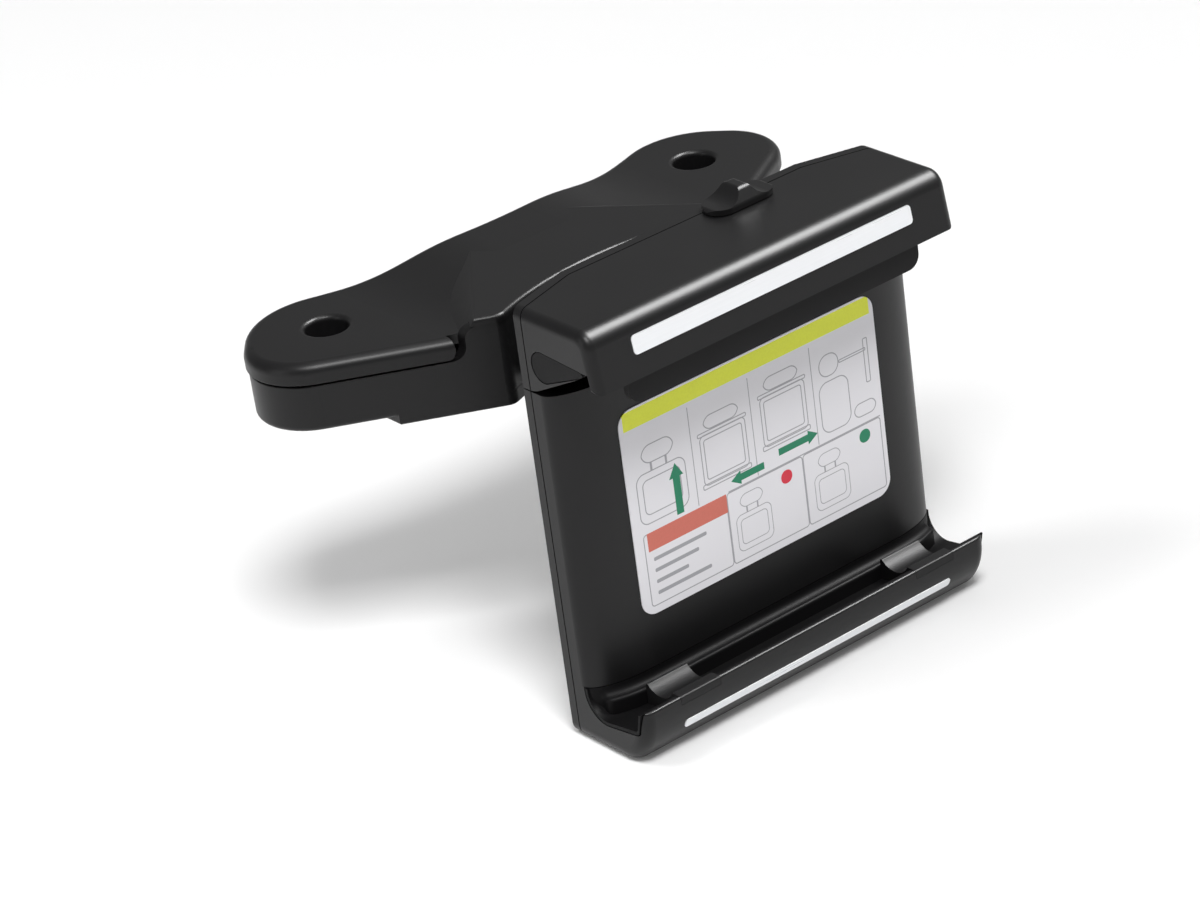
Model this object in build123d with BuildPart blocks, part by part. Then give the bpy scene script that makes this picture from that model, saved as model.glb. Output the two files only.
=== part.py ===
"""Tablet mount for a car headrest: a dog-bone arm that two headrest posts pass through, and a tilting
holder with a fixed lower jaw and a sprung upper jaw.

Frame: origin midway between the two post bores, at half the height of the lobes. X runs along the
holder, -Y points to the tablet, +Z points up along the posts. All lengths are in millimetres.
"""

import os
from math import asin, cos, hypot, radians, sin, sqrt, tan

from build123d import *

os.makedirs("parts", exist_ok=True)

# Arm
POST_SPACING = 140.0
POST_BORE = 12.8
BORE_EDGE = 1.5
LOBE_R = 25.3
LOBE_SHIFT = 2.0
LOBE_NOSE = 8.0
LOBE_NOSE_R = 19.0
LOBE_HEIGHT = 21.5
WAIST_REAR = 11.0
FRONT_ANGLE = 31.0
NECK_HALF = 41.0
NECK_BOW = 9.0
NECK_CORNER = 4.0
COVER_DEPTH = 7.0
COVER_OVERHANG = 0.7
COVER_EDGE = 3.2
PARTING_GAP = 0.8
PARTING_EDGE = 0.4
GROOVE_DEPTH = 1.2
ARM_WALL = 3.0
ARM_DRAFT = 0.5
BASE_EDGE = 2.0
SADDLE_RISE = 4.6
SADDLE_OUTER = 54.0
SADDLE_INNER = 12.0
SADDLE_EASE = 18.0
CREST_REAR = 2.0
CREST_FRONT = 48.0
CREST_REAR_HALF = 15.0
CREST_FRONT_HALF = 52.0
CREST_REAR_RISE = 4.3
CREST_FRONT_RISE = 5.5
CREST_FOOT_REAR_HALF = 36.0
CREST_FOOT_FRONT_HALF = 55.0
CREST_ROOT = 1.0
CREST_PAST = 1.0
CREST_EDGE = 1.2
NECK_SKIN = 1.5
NECK_SEAT = 20.0
NECK_CORE_HALF = 30.0
NECK_WALL_HALF = 50.3
NECK_WALL_CORNER = 4.0
NOTCH = 3.0
PAD_HALF = 69.0
PAD_DROP = 2.5
BORE_TUBE = 2.5

# Screws
SCREW_R = 1.4
SCREW_HEAD_R = 3.0
SCREW_HEAD = 1.6
SCREW_FIT = 0.1
BOSS_R = 4.0
ARM_SCREW_OUT = 15.5
ARM_SCREW_IN = 44.0

# Tilting hinge between the arm and the holder
REACH = 80.3
HINGE_STANDOFF = 22.3
HINGE_DROP = 9.5
KNUCKLE_R = 11.0
KNUCKLE_HALF = 18.7
WASHER_R = 9.5
WASHER = 1.0
WASHER_GAP = 0.05
LUG = 8.0
PIN_R = 3.0
PIN_CLEAR = 0.05
BOLT_HEAD_R = 5.0
BOLT_HEAD = 3.4
NUT_FLATS = 10.0
NUT = 4.0
RECESS_CLEAR = 0.6

# Holder plate
HOLDER_HALF = 66.0
HOLDER_HEIGHT = 134.5
REAR_FLAT_HALF = 43.0
REAR_SWEEP = 7.0
REAR_COVER = 3.0
PLATE = 22.2
PLATE_EDGE = 8.0
PLATE_EDGE_RUN = 20.0
PLATE_CORNER = 4.0
SEAM = 0.4
SEAM_DEPTH = 0.5
PLATE_WALL = 3.0
CORE_INNER = 46.5
CORE_OUTER = 60.0
HOLDER_SCREW_X = 52.0
HOLDER_SCREW_SINK = 1.5
HOLDER_SCREW = 6.5

# Lower jaw
LIP_DEPTH = 41.2
LIP_HEIGHT = 18.4
LIP = 3.0
LIP_EDGE = 0.8
LIP_LEAN = 1.8
TOE_RUN = 11.5
TOE_RISE = 15.7
TOE_TURN = 45.0
INSERT_BURIED = 7.2
INSERT_DEPTH = 10.8
INSERT_RISE = 3.2
INSERT_HEEL = 8.5
INSERT_WALL = 1.4
INSERT_LIP = 0.7
INSERT_GAP = 0.3
LEDGE = 3.2
LEDGE_DROP = 3.3
LEDGE_END = 3.0
LEDGE_CORNER = 2.0
LEDGE_EDGE = 0.9
LEDGE_COVE = 2.2
SEAT_CLEAR = 0.1
GRIP = 1.3
GRIP_END = 13.7
GRIP_LENGTH = 14.6
GRIP_HOLLOW = 3.5
GRIP_DROP = 1.2
GRIP_FLAP = 0.7

# Upper jaw, sliding on two rails
JAW_RISE = 29.0
JAW_HEIGHT = 24.0
JAW_GAP = 0.4
JAW_FRONT_TOP = 37.6
JAW_FRONT_LOW = 40.5
JAW_FRONT_DROP = 17.3
JAW_FRONT_WALL = 2.6
RIDGE_R = 5.5
JAW_END = 3.0
JAW_CORNER = 2.2
SHELF_FLAT = 12.0
SHELF_FRONT = 31.5
SHELF_RISE = 9.4
BULB_R = 4.5
BULB_DEPTH = 17.0
BULB_RISE = 8.8
BULB_GAP = 0.25
TIP_R = 0.8
TIP_DEPTH = 33.6
TIP_RISE = 11.5
SLOT_RISE = 12.4
SOFT_LIP = 2.2
SOFT_LIP_END = 12.5
SOFT_LIP_DROP = 1.4
SOFT_LIP_CORNER = 4.0
JAW_ROOF = 3.5

# Accent strips and sticker
STRIP_END = 14.8
STRIP = 1.0
STRIP_PROUD = 0.15
UPPER_STRIP_HEIGHT = 5.6
UPPER_STRIP_DROP = 8.0
LOWER_STRIP_HEIGHT = 3.0
LOWER_STRIP_RISE = 8.7
STRIP_CORNER = 1.2
STICKER_END = 18.5
STICKER_TOP = 35.5
STICKER_HEIGHT = 64.5
STICKER_CORNER = 5.0
STICKER = 0.3

# Rails, return springs and lock
RAIL = 5.0
RAIL_WIDTH = 13.0
RAIL_X = 35.0
RAIL_FOOT = 5.0
SLIDE_CLEAR = 0.4
PEG_R = 2.0
SPRING_X = 21.0
SPRING_R = 2.2
SPRING_WIRE = 0.9
SPRING_TURNS = 8
SPRING_SEAT = 0.1
FOOT_MARGIN = 0.3
PLATE_ROOF = 3.1
WELL_FLOOR = 5.5
LOCK_X = 16.5
LOCK_LENGTH = 23.0
LOCK_WIDTH = 11.0
LOCK_HEIGHT = 6.0
LOCK_LIFT = 0.35
LOCK_WING = 2.0
LOCK_FIN = 3.0
LOCK_FIN_WIDTH = 6.6
LOCK_SCOOP = 6.0
LOCK_EDGE = 1.2
LOCK_CROWN = 1.9
LOCK_TRAVEL = 8.0
LOCK_STEM = 5.0
LOCK_BAR = 3.0
LOCK_BAR_X = 9.5
LOCK_BAR_WIDTH = 6.0
LOCK_ARM = 6.0
BRAKE_RIB = 2.7
BRAKE_GAP = 0.3

# Tolerance for picking edges and corners by position, and the pull of a curve that rounds a corner
NEAR = 0.01
ROUND = 0.5523

# Levels and lines worked out from the sizes above
post_x = POST_SPACING / 2
lobe_top = LOBE_HEIGHT / 2
arm_base = -LOBE_HEIGHT / 2
neck_base = arm_base - PAD_DROP
parting_z = lobe_top - COVER_DEPTH
saddle_top = lobe_top + SADDLE_RISE
skin_z = saddle_top - NECK_SKIN
far = POST_SPACING

hinge_y = -REACH + HINGE_STANDOFF
hinge_z = lobe_top - HINGE_DROP
lug_inner = KNUCKLE_HALF + WASHER + 2 * WASHER_GAP
lug_outer = lug_inner + LUG
recess_depth = max(BOLT_HEAD, NUT)

jaw_top = lobe_top + JAW_RISE
jaw_base = jaw_top - JAW_HEIGHT
plate_top = jaw_base - JAW_GAP
holder_base = jaw_top - HOLDER_HEIGHT
insert_top = holder_base + LIP_HEIGHT
jaw_roof = jaw_top - JAW_ROOF
plate_roof = plate_top - PLATE_ROOF

rear_y = -REACH
parting_y = rear_y - REAR_COVER
front_y = rear_y - PLATE
lip_y = rear_y - LIP_DEPTH
well = RAIL + 2 * SLIDE_CLEAR
slide_y = parting_y - well / 2
well_half = RAIL_X + RAIL_WIDTH / 2 + 2 * SLIDE_CLEAR
foot_top = holder_base + WELL_FLOOR + RAIL_FOOT + FOOT_MARGIN


def save(builder, label):
    """Label a finished piece and write it to its own file."""
    builder.part.label = label
    export_step(builder.part, f"parts/{label}.step")


# Arm: plan shapes shared by the cover and the lower body


def arm_plan(shrink):
    """Outline of the arm, shrink inside its wall: two lobes, waisted behind, tapering to the neck."""
    lobe = LOBE_R - shrink
    nose = LOBE_NOSE_R - shrink
    nose_x = post_x + LOBE_NOSE
    waist = WAIST_REAR - shrink
    reach = waist + LOBE_SHIFT
    waist_r = (post_x**2 + reach**2 - lobe**2) / (2 * (lobe - reach))
    share = lobe / (waist_r + lobe)
    rear = (post_x * (1 - share), (reach + waist_r) * share - LOBE_SHIFT)
    lean_x = (LOBE_R - LOBE_NOSE_R) / LOBE_NOSE
    lean_y = sqrt(1 - lean_x**2)
    shoulder = (post_x + lobe * lean_x, lobe * lean_y - LOBE_SHIFT)
    flank = (nose_x + nose * lean_x, nose * lean_y - LOBE_SHIFT)
    slope = radians(FRONT_ANGLE)
    front = (nose_x + nose * sin(slope), -nose * cos(slope) - LOBE_SHIFT)
    neck_x = NECK_HALF - shrink
    neck_y = front[1] - (front[0] - neck_x) * tan(slope)
    with BuildSketch() as plan:
        with BuildLine():
            ThreePointArc((-rear[0], rear[1]), (0, waist), rear)
            ThreePointArc(rear, (post_x, lobe - LOBE_SHIFT), shoulder)
            Line(shoulder, flank)
            ThreePointArc(flank, (nose_x + nose, -LOBE_SHIFT), front)
            Line(front, (neck_x, neck_y))
            ThreePointArc((neck_x, neck_y), (0, neck_y + NECK_BOW), (-neck_x, neck_y))
            Line((-neck_x, neck_y), (-front[0], front[1]))
            ThreePointArc((-front[0], front[1]), (-nose_x - nose, -LOBE_SHIFT), (-flank[0], flank[1]))
            Line((-flank[0], flank[1]), (-shoulder[0], shoulder[1]))
            ThreePointArc((-shoulder[0], shoulder[1]), (-post_x, lobe - LOBE_SHIFT), (-rear[0], rear[1]))
        make_face()
        fillet(plan.vertices().group_by(Axis.Y)[0], NECK_CORNER)
    return plan.sketch


def neck_core_plan(grow):
    """Solid middle of the neck that carries the hinge lugs, grown all round, cut to the arm's outline."""
    with BuildSketch() as plan:
        add(arm_plan(COVER_OVERHANG - grow))
        with Locations((0, -NECK_SEAT + grow - far / 2)):
            Rectangle(2 * (NECK_CORE_HALF + grow), far, mode=Mode.INTERSECT)
    return plan.sketch


def wall_band(outer, inner):
    """Plan of the band between two insets of the arm's outline."""
    with BuildSketch() as plan:
        add(arm_plan(outer))
        add(arm_plan(inner), mode=Mode.SUBTRACT)
    return plan.sketch


def neck_wall_view(grow):
    """Front view of the wall that rises at the neck, grown all round, rounded at its corners."""
    half = NECK_WALL_HALF + grow
    top = skin_z - SEAT_CLEAR + min(grow, SEAT_CLEAR)
    with BuildSketch() as view:
        with Locations((0, (parting_z + top) / 2)):
            Rectangle(2 * half, top - parting_z)
        with Locations((0, parting_z - NECK_WALL_CORNER / 2)):
            Rectangle(2 * half + 4 * NECK_WALL_CORNER, NECK_WALL_CORNER)
        inner = view.vertices().filter_by(lambda v: abs(v.Y - parting_z) < NEAR).sort_by(Axis.X)
        fillet(inner[1:3], NECK_WALL_CORNER)
        fillet(view.vertices().group_by(Axis.Y)[-1], NECK_WALL_CORNER)
    return view.sketch


arm_screw_spots = [
    (-post_x - ARM_SCREW_OUT, 0, arm_base),
    (-ARM_SCREW_IN, 0, neck_base),
    (ARM_SCREW_IN, 0, neck_base),
    (post_x + ARM_SCREW_OUT, 0, arm_base),
]


def arm_hollow():
    """Hollow inside the arm's walls, clear of the post tubes, the screw bosses and the neck block."""
    with BuildSketch() as plan:
        add(arm_plan(COVER_OVERHANG + ARM_WALL))
        add(neck_core_plan(ARM_WALL), mode=Mode.SUBTRACT)
        with Locations((-post_x, 0), (post_x, 0)):
            Circle(POST_BORE / 2 + BORE_TUBE, mode=Mode.SUBTRACT)
        with Locations(*[(x, y) for x, y, z in arm_screw_spots]):
            Circle(BOSS_R, mode=Mode.SUBTRACT)
    return plan.sketch


cover_plan = arm_plan(0)
body_plan = arm_plan(COVER_OVERHANG)
tongue_plan = arm_plan(COVER_OVERHANG + GROOVE_DEPTH)
core_plan = neck_core_plan(0)
core_relief_plan = neck_core_plan(SEAT_CLEAR)
wall_plan = wall_band(COVER_OVERHANG, COVER_OVERHANG + ARM_WALL)
wall_relief_plan = wall_band(-NOTCH, COVER_OVERHANG + ARM_WALL + SEAT_CLEAR)
wall_view = neck_wall_view(0)
wall_relief_view = neck_wall_view(NOTCH)
hollow_plan = arm_hollow()
neck_front_plane = Plane.XZ.offset(NECK_SEAT)


def crest_section(half, foot_half, rise):
    """Cross section of the neck's raised crest, flat on top with leaning sides."""
    with BuildSketch() as section:
        with BuildLine():
            Polyline(
                (-foot_half, lobe_top - CREST_ROOT),
                (-half, lobe_top + rise),
                (half, lobe_top + rise),
                (foot_half, lobe_top - CREST_ROOT),
                close=True,
            )
        make_face()
    return section.sketch


def crest_front_size(rear, front):
    """Size of the crest's front section, carried on past its given place where the neck reaches further."""
    return rear + (front - rear) * (crest_reach + CREST_REAR) / (CREST_FRONT + CREST_REAR)


crest_reach = max(CREST_FRONT, CREST_PAST - cover_plan.bounding_box().min.Y)
crest_rear = crest_section(CREST_REAR_HALF, CREST_FOOT_REAR_HALF, CREST_REAR_RISE)
crest_front = crest_section(
    crest_front_size(CREST_REAR_HALF, CREST_FRONT_HALF),
    crest_front_size(CREST_FOOT_REAR_HALF, CREST_FOOT_FRONT_HALF),
    crest_front_size(CREST_REAR_RISE, CREST_FRONT_RISE),
)

# Arm top cover: long saddle between the lobes, a crest over the neck, hollow underneath

with BuildPart() as neck_crest:
    with BuildSketch(Plane.XZ.offset(-CREST_REAR)):
        add(crest_rear)
    with BuildSketch(Plane.XZ.offset(crest_reach)):
        add(crest_front)
    loft()
    with BuildSketch(Plane.XY.offset(parting_z)):
        add(cover_plan)
        Rectangle(2 * (NECK_WALL_HALF + NOTCH - SEAT_CLEAR), 2 * far, mode=Mode.INTERSECT)
    extrude(amount=far, mode=Mode.INTERSECT)
    crest_top = neck_crest.faces().sort_by(Axis.Z)[-1]
    brow = crest_top.edges().filter_by(lambda e: e.center().Y < -NECK_SEAT and e.length > CREST_EDGE)
    fillet(brow, CREST_EDGE)

with BuildPart() as neck_wall:
    with BuildSketch(neck_front_plane):
        add(wall_view)
    extrude(amount=far)
    with BuildSketch(Plane.XY.offset(arm_base)):
        add(wall_plan)
    extrude(amount=far, mode=Mode.INTERSECT)

with BuildPart() as neck_wall_relief:
    with BuildSketch(neck_front_plane):
        add(wall_relief_view)
    extrude(amount=far)
    with BuildSketch(Plane.XY.offset(arm_base)):
        add(wall_relief_plan)
    extrude(amount=far, mode=Mode.INTERSECT)

with BuildPart() as arm_top_cover:
    with BuildSketch(Plane.XY.offset(parting_z + PARTING_GAP)):
        add(cover_plan)
    extrude(amount=saddle_top - parting_z - PARTING_GAP)
    fillet(arm_top_cover.faces().sort_by(Axis.Z)[0].edges(), PARTING_EDGE)
    with BuildSketch(Plane.XZ):
        with BuildLine():
            Line((-far, saddle_top + far), (-far, lobe_top))
            Line((-far, lobe_top), (-SADDLE_OUTER, lobe_top))
            Bezier(
                (-SADDLE_OUTER, lobe_top),
                (-SADDLE_OUTER + SADDLE_EASE, lobe_top),
                (-SADDLE_INNER - SADDLE_EASE, saddle_top),
                (-SADDLE_INNER, saddle_top),
            )
            Line((-SADDLE_INNER, saddle_top), (SADDLE_INNER, saddle_top))
            Bezier(
                (SADDLE_INNER, saddle_top),
                (SADDLE_INNER + SADDLE_EASE, saddle_top),
                (SADDLE_OUTER - SADDLE_EASE, lobe_top),
                (SADDLE_OUTER, lobe_top),
            )
            Line((SADDLE_OUTER, lobe_top), (far, lobe_top))
            Line((far, lobe_top), (far, saddle_top + far))
            Line((far, saddle_top + far), (-far, saddle_top + far))
        make_face()
    extrude(amount=far, both=True, mode=Mode.SUBTRACT)
    rim = arm_top_cover.edges().filter_by(lambda e: e.bounding_box().min.Z > lobe_top - NEAR)
    fillet(rim.filter_by(Axis.Y, reverse=True), COVER_EDGE)
    add(neck_crest.part)
    with BuildSketch(Plane.XY.offset(parting_z + PARTING_GAP)):
        add(hollow_plan)
    extrude(amount=COVER_DEPTH - PARTING_GAP - ARM_WALL, mode=Mode.SUBTRACT)
    with BuildSketch(Plane.XY.offset(parting_z)):
        add(core_relief_plan)
    extrude(amount=skin_z - parting_z, mode=Mode.SUBTRACT)
    add(neck_wall_relief.part, mode=Mode.SUBTRACT)
    with BuildSketch(Plane.XY.offset(parting_z)):
        with Locations((-post_x, 0), (post_x, 0)):
            Circle(POST_BORE / 2)
    extrude(amount=far, mode=Mode.SUBTRACT)
    with BuildSketch(Plane.XY.offset(parting_z)):
        with Locations(*[(x, y) for x, y, z in arm_screw_spots]):
            Circle(SCREW_R + SCREW_FIT)
    extrude(amount=COVER_DEPTH - ARM_WALL, mode=Mode.SUBTRACT)
    bore_rims = arm_top_cover.edges().filter_by(GeomType.CIRCLE).filter_by_position(
        Axis.Z, lobe_top - NEAR, lobe_top + NEAR
    )
    fillet(bore_rims.filter_by(lambda e: abs(e.radius - POST_BORE / 2) < NEAR), BORE_EDGE)

# Arm lower body: drafted walls, raised neck and the two hinge lugs

with BuildPart() as arm_lower_body:
    with BuildSketch(Plane.XY.offset(parting_z)):
        add(body_plan)
    extrude(amount=arm_base - parting_z, taper=ARM_DRAFT)
    fillet(arm_lower_body.faces().sort_by(Axis.Z)[0].edges(), BASE_EDGE)
    fillet(arm_lower_body.faces().sort_by(Axis.Z)[-1].edges(), PARTING_EDGE)
    with BuildSketch(Plane.XY.offset(parting_z - PARTING_GAP)):
        add(tongue_plan)
    extrude(amount=2 * PARTING_GAP)
    draft_in = COVER_OVERHANG + (parting_z - arm_base) * tan(radians(ARM_DRAFT))
    with BuildSketch(Plane.XY.offset(arm_base + BASE_EDGE)):
        add(arm_plan(draft_in))
        Rectangle(2 * PAD_HALF, 2 * far, mode=Mode.INTERSECT)
        with Locations((-post_x, 0), (post_x, 0)):
            Circle(POST_BORE / 2 + BORE_TUBE, mode=Mode.SUBTRACT)
    extrude(amount=-PAD_DROP - BASE_EDGE)
    sole_rim = arm_lower_body.faces().sort_by(Axis.Z)[0].edges()
    fillet(sole_rim, min(BASE_EDGE / 2, sole_rim.sort_by(SortBy.LENGTH)[0].length / 2))
    with BuildSketch(Plane.XY.offset(parting_z + PARTING_GAP)):
        add(hollow_plan)
    extrude(amount=arm_base + ARM_WALL - parting_z - PARTING_GAP, mode=Mode.SUBTRACT)
    with BuildSketch(Plane.XY.offset(parting_z - COVER_DEPTH)):
        add(core_plan)
    extrude(amount=skin_z - SEAT_CLEAR - parting_z + COVER_DEPTH)
    add(neck_wall.part)
    for side in (-1, 1):
        with BuildSketch(Plane.YZ.offset(side * lug_inner)):
            with Locations((hinge_y, hinge_z)):
                Circle(KNUCKLE_R)
            with Locations(((hinge_y - NECK_SEAT) / 2, hinge_z)):
                Rectangle(-hinge_y - NECK_SEAT, 2 * KNUCKLE_R)
        extrude(amount=side * LUG)
    with BuildSketch(Plane.YZ):
        with Locations((hinge_y, hinge_z)):
            Circle(PIN_R + PIN_CLEAR)
    extrude(amount=lug_outer, both=True, mode=Mode.SUBTRACT)
    for side in (-1, 1):
        with BuildSketch(Plane.YZ.offset(side * lug_outer)):
            with Locations((hinge_y, hinge_z)):
                Circle(NUT_FLATS / 2 / cos(radians(30)) + RECESS_CLEAR)
        extrude(amount=-side * recess_depth, mode=Mode.SUBTRACT)
    with BuildSketch(Plane.XY.offset(neck_base)):
        with Locations((-post_x, 0), (post_x, 0)):
            Circle(POST_BORE / 2)
    extrude(amount=far, mode=Mode.SUBTRACT)
    for x, y, z in arm_screw_spots:
        with BuildSketch(Plane.XY.offset(z)):
            with Locations((x, y)):
                Circle(SCREW_HEAD_R + SCREW_FIT)
        extrude(amount=2 * SCREW_HEAD, mode=Mode.SUBTRACT)
        with BuildSketch(Plane.XY.offset(z)):
            with Locations((x, y)):
                Circle(SCREW_R + SCREW_FIT)
        extrude(amount=far, mode=Mode.SUBTRACT)

# Screws that pull the cover down onto the lower body, put in from below

with BuildPart() as arm_screws:
    for x, y, z in arm_screw_spots:
        with BuildSketch(Plane.XY.offset(z + SCREW_HEAD)):
            with Locations((x, y)):
                Circle(SCREW_HEAD_R)
        extrude(amount=SCREW_HEAD)
        with BuildSketch(Plane.XY.offset(z + 2 * SCREW_HEAD)):
            with Locations((x, y)):
                Circle(SCREW_R)
        extrude(amount=lobe_top - ARM_WALL - SCREW_FIT - z - 2 * SCREW_HEAD)

# Hinge bolt, nut and friction washers

with BuildPart() as hinge_bolt:
    head_x = -lug_outer + recess_depth
    with BuildSketch(Plane.YZ.offset(head_x)):
        with Locations((hinge_y, hinge_z)):
            Circle(PIN_R)
    extrude(amount=2 * lug_outer - recess_depth)
    with BuildSketch(Plane.YZ.offset(head_x)):
        with Locations((hinge_y, hinge_z)):
            Circle(BOLT_HEAD_R)
    extrude(amount=-BOLT_HEAD)
    fillet(hinge_bolt.edges().group_by(Axis.X)[0], BOLT_HEAD / 3)

with BuildPart() as hinge_nut:
    with BuildSketch(Plane.YZ.offset(lug_outer - recess_depth)):
        with Locations((hinge_y, hinge_z)):
            RegularPolygon(NUT_FLATS / 2, 6, major_radius=False)
            Circle(PIN_R + PIN_CLEAR, mode=Mode.SUBTRACT)
    extrude(amount=recess_depth)

friction_washers = []
for side, name in ((-1, "left"), (1, "right")):
    with BuildPart() as washer:
        with BuildSketch(Plane.YZ.offset(side * (KNUCKLE_HALF + WASHER_GAP))):
            with Locations((hinge_y, hinge_z)):
                Circle(WASHER_R)
                Circle(PIN_R + PIN_CLEAR, mode=Mode.SUBTRACT)
        extrude(amount=side * WASHER)
    friction_washers.append((washer, f"friction_washer_{name}"))

# Holder: plan shapes shared by the plate and the upper jaw


def rear_line(shift):
    """Points of the holder's back in plan, flat in the middle and swept forward at the ends."""
    return [
        (-HOLDER_HALF, rear_y - REAR_SWEEP - shift),
        (-REAR_FLAT_HALF, rear_y - shift),
        (REAR_FLAT_HALF, rear_y - shift),
        (HOLDER_HALF, rear_y - REAR_SWEEP - shift),
    ]


def rear_cover_plan():
    """Band of even thickness that closes the back."""
    with BuildSketch() as plan:
        with BuildLine():
            Polyline(*rear_line(0), *reversed(rear_line(REAR_COVER)), close=True)
        make_face()
    return plan.sketch


def shell_plan(front):
    """Plan in front of the rear cover, forward to the line y = front."""
    with BuildSketch() as plan:
        with BuildLine():
            Polyline(*rear_line(REAR_COVER), (HOLDER_HALF, front), (-HOLDER_HALF, front), close=True)
        make_face()
    return plan.sketch


def sweep_at(x):
    """How far the back lies forward of its flat middle at x."""
    past = max(0.0, abs(x) - REAR_FLAT_HALF)
    return REAR_SWEEP * past / (HOLDER_HALF - REAR_FLAT_HALF)


cover_band = rear_cover_plan()
jaw_plan = shell_plan(rear_y - JAW_FRONT_LOW - JAW_FRONT_WALL)

screw_floor_y = rear_y - sweep_at(HOLDER_SCREW_X) - HOLDER_SCREW_SINK
plate_screw_spots = [
    (side * HOLDER_SCREW_X, z)
    for side in (-1, 1)
    for z in (insert_top - LIP_HEIGHT / 2, plate_roof - BOSS_R)
]
jaw_screw_spots = [(side * HOLDER_SCREW_X, jaw_base + BULB_RISE) for side in (-1, 1)]
lip_slope = LIP_LEAN / (INSERT_DEPTH - INSERT_RISE)


def trough_profile(rear, front, depth, rise, heel, toe, mouth):
    """Closed outline of a trough across the holder, its front wall leaning out, its top at mouth."""
    floor = insert_top - depth
    with BuildSketch() as profile:
        with BuildLine():
            Polyline(
                (rear, insert_top + mouth),
                (rear, floor),
                (front, floor + rise),
                (front - lip_slope * (depth - rise + mouth), insert_top + mouth),
                close=True,
            )
        make_face()
        fillet(profile.vertices().filter_by(lambda v: v.Y < insert_top - rise).sort_by(Axis.X)[-1], heel)
        fillet(profile.vertices().filter_by(lambda v: v.Y < insert_top - rise).sort_by(Axis.X)[0], toe)
    return profile.sketch


lip_inner_y = lip_y + LIP
seat_rear = front_y + INSERT_BURIED
trough_rear = seat_rear - INSERT_WALL
trough_front = lip_inner_y + INSERT_LIP
trough_depth = INSERT_DEPTH - INSERT_WALL
ledge_y = front_y - LEDGE
ledge_z = insert_top - LEDGE_DROP
grip_inner = HOLDER_HALF - GRIP_END - GRIP_LENGTH
grip_middle = HOLDER_HALF - GRIP_END - GRIP_LENGTH / 2
strip_half = HOLDER_HALF - STRIP_END
seat_profile = trough_profile(seat_rear, lip_inner_y, INSERT_DEPTH, INSERT_RISE, INSERT_HEEL, LIP / 2, 0)
insert_profile = trough_profile(
    seat_rear - INSERT_GAP,
    lip_inner_y + INSERT_GAP,
    INSERT_DEPTH - INSERT_GAP,
    INSERT_RISE,
    INSERT_HEEL,
    LIP / 2,
    -INSERT_GAP,
)
channel_profile = trough_profile(
    trough_rear,
    trough_front,
    trough_depth,
    INSERT_RISE,
    INSERT_HEEL - INSERT_WALL,
    LIP / 2,
    LIP,
)


def floor_at(y):
    """Height of the trough's sloping floor at y."""
    share = (trough_rear - y) / (trough_rear - trough_front)
    return insert_top - trough_depth + INSERT_RISE * share


def wall_at(z):
    """Y of the trough's leaning front wall at height z."""
    return trough_front - lip_slope * (z - insert_top + trough_depth - INSERT_RISE)


def grip_section():
    """Section of a grip pad: fills the channel, hollowed for the tablet's edge, hooked over the lip."""
    rear = ledge_y - SEAT_CLEAR
    front = trough_front + SEAT_CLEAR
    under = insert_top - GRIP
    hook = lip_y + GRIP_FLAP - SEAT_CLEAR
    with BuildSketch() as section:
        with BuildLine():
            ThreePointArc(
                (trough_front, insert_top),
                ((trough_front + rear) / 2, insert_top - GRIP_HOLLOW),
                (rear, insert_top),
            )
            Polyline(
                (rear, insert_top),
                (rear, floor_at(rear) + SEAT_CLEAR),
                (front, floor_at(front) + SEAT_CLEAR),
                (wall_at(under) + SEAT_CLEAR, under),
                (hook, under),
                (hook, under - GRIP_DROP),
                (lip_y, under - GRIP_DROP),
                (lip_y, insert_top),
                (trough_front, insert_top),
            )
        make_face()
        toe = section.vertices().filter_by(lambda v: v.Y < insert_top - GRIP_HOLLOW).sort_by(Axis.X)[0]
        fillet(toe, LIP)
        brow = section.vertices().filter_by(lambda v: v.Y > insert_top - NEAR).sort_by(Axis.X)
        fillet([brow[0], brow[-1]], GRIP / 2)
    return section.sketch


grip_profile = grip_section()

# Holder plate front shell, with the lower jaw's lip in one piece


toe_turn = radians(TOE_TURN)
toe_small = TOE_RISE - sin(toe_turn) * (TOE_RISE - TOE_RUN) / (sin(toe_turn) + cos(toe_turn) - 1)
toe_large = toe_small + (TOE_RISE - toe_small) / sin(toe_turn)
brow_z = holder_base + TOE_RISE


def toe_point(turn):
    """Point of the toe's upper arc where it has turned by an angle."""
    return (lip_y + toe_large * (1 - cos(turn)), brow_z - toe_large * sin(turn))


def lip_section():
    """Section of the lower jaw before its trough is cut, its front drawn softly under to the base."""
    toe_y = lip_y + TOE_RUN
    with BuildSketch() as profile:
        with BuildLine():
            TangentArc((lip_y, brow_z), toe_point(toe_turn), tangent=(0, -1))
            TangentArc(toe_point(toe_turn), (toe_y, holder_base), tangent=(sin(toe_turn), -cos(toe_turn)))
            Polyline(
                (lip_y, brow_z),
                (lip_y, insert_top),
                (seat_rear, insert_top),
                (seat_rear, holder_base),
                (toe_y, holder_base),
            )
        make_face()
    return profile.sketch


def toe_plane(rise):
    """Plane that touches the lower jaw's drawn-under front at a height above the base."""
    turn = asin((TOE_RISE - rise) / toe_large)
    return Plane(
        origin=(0, *toe_point(turn)),
        x_dir=(1, 0, 0),
        z_dir=(0, -cos(turn), -sin(turn)),
    )


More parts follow.
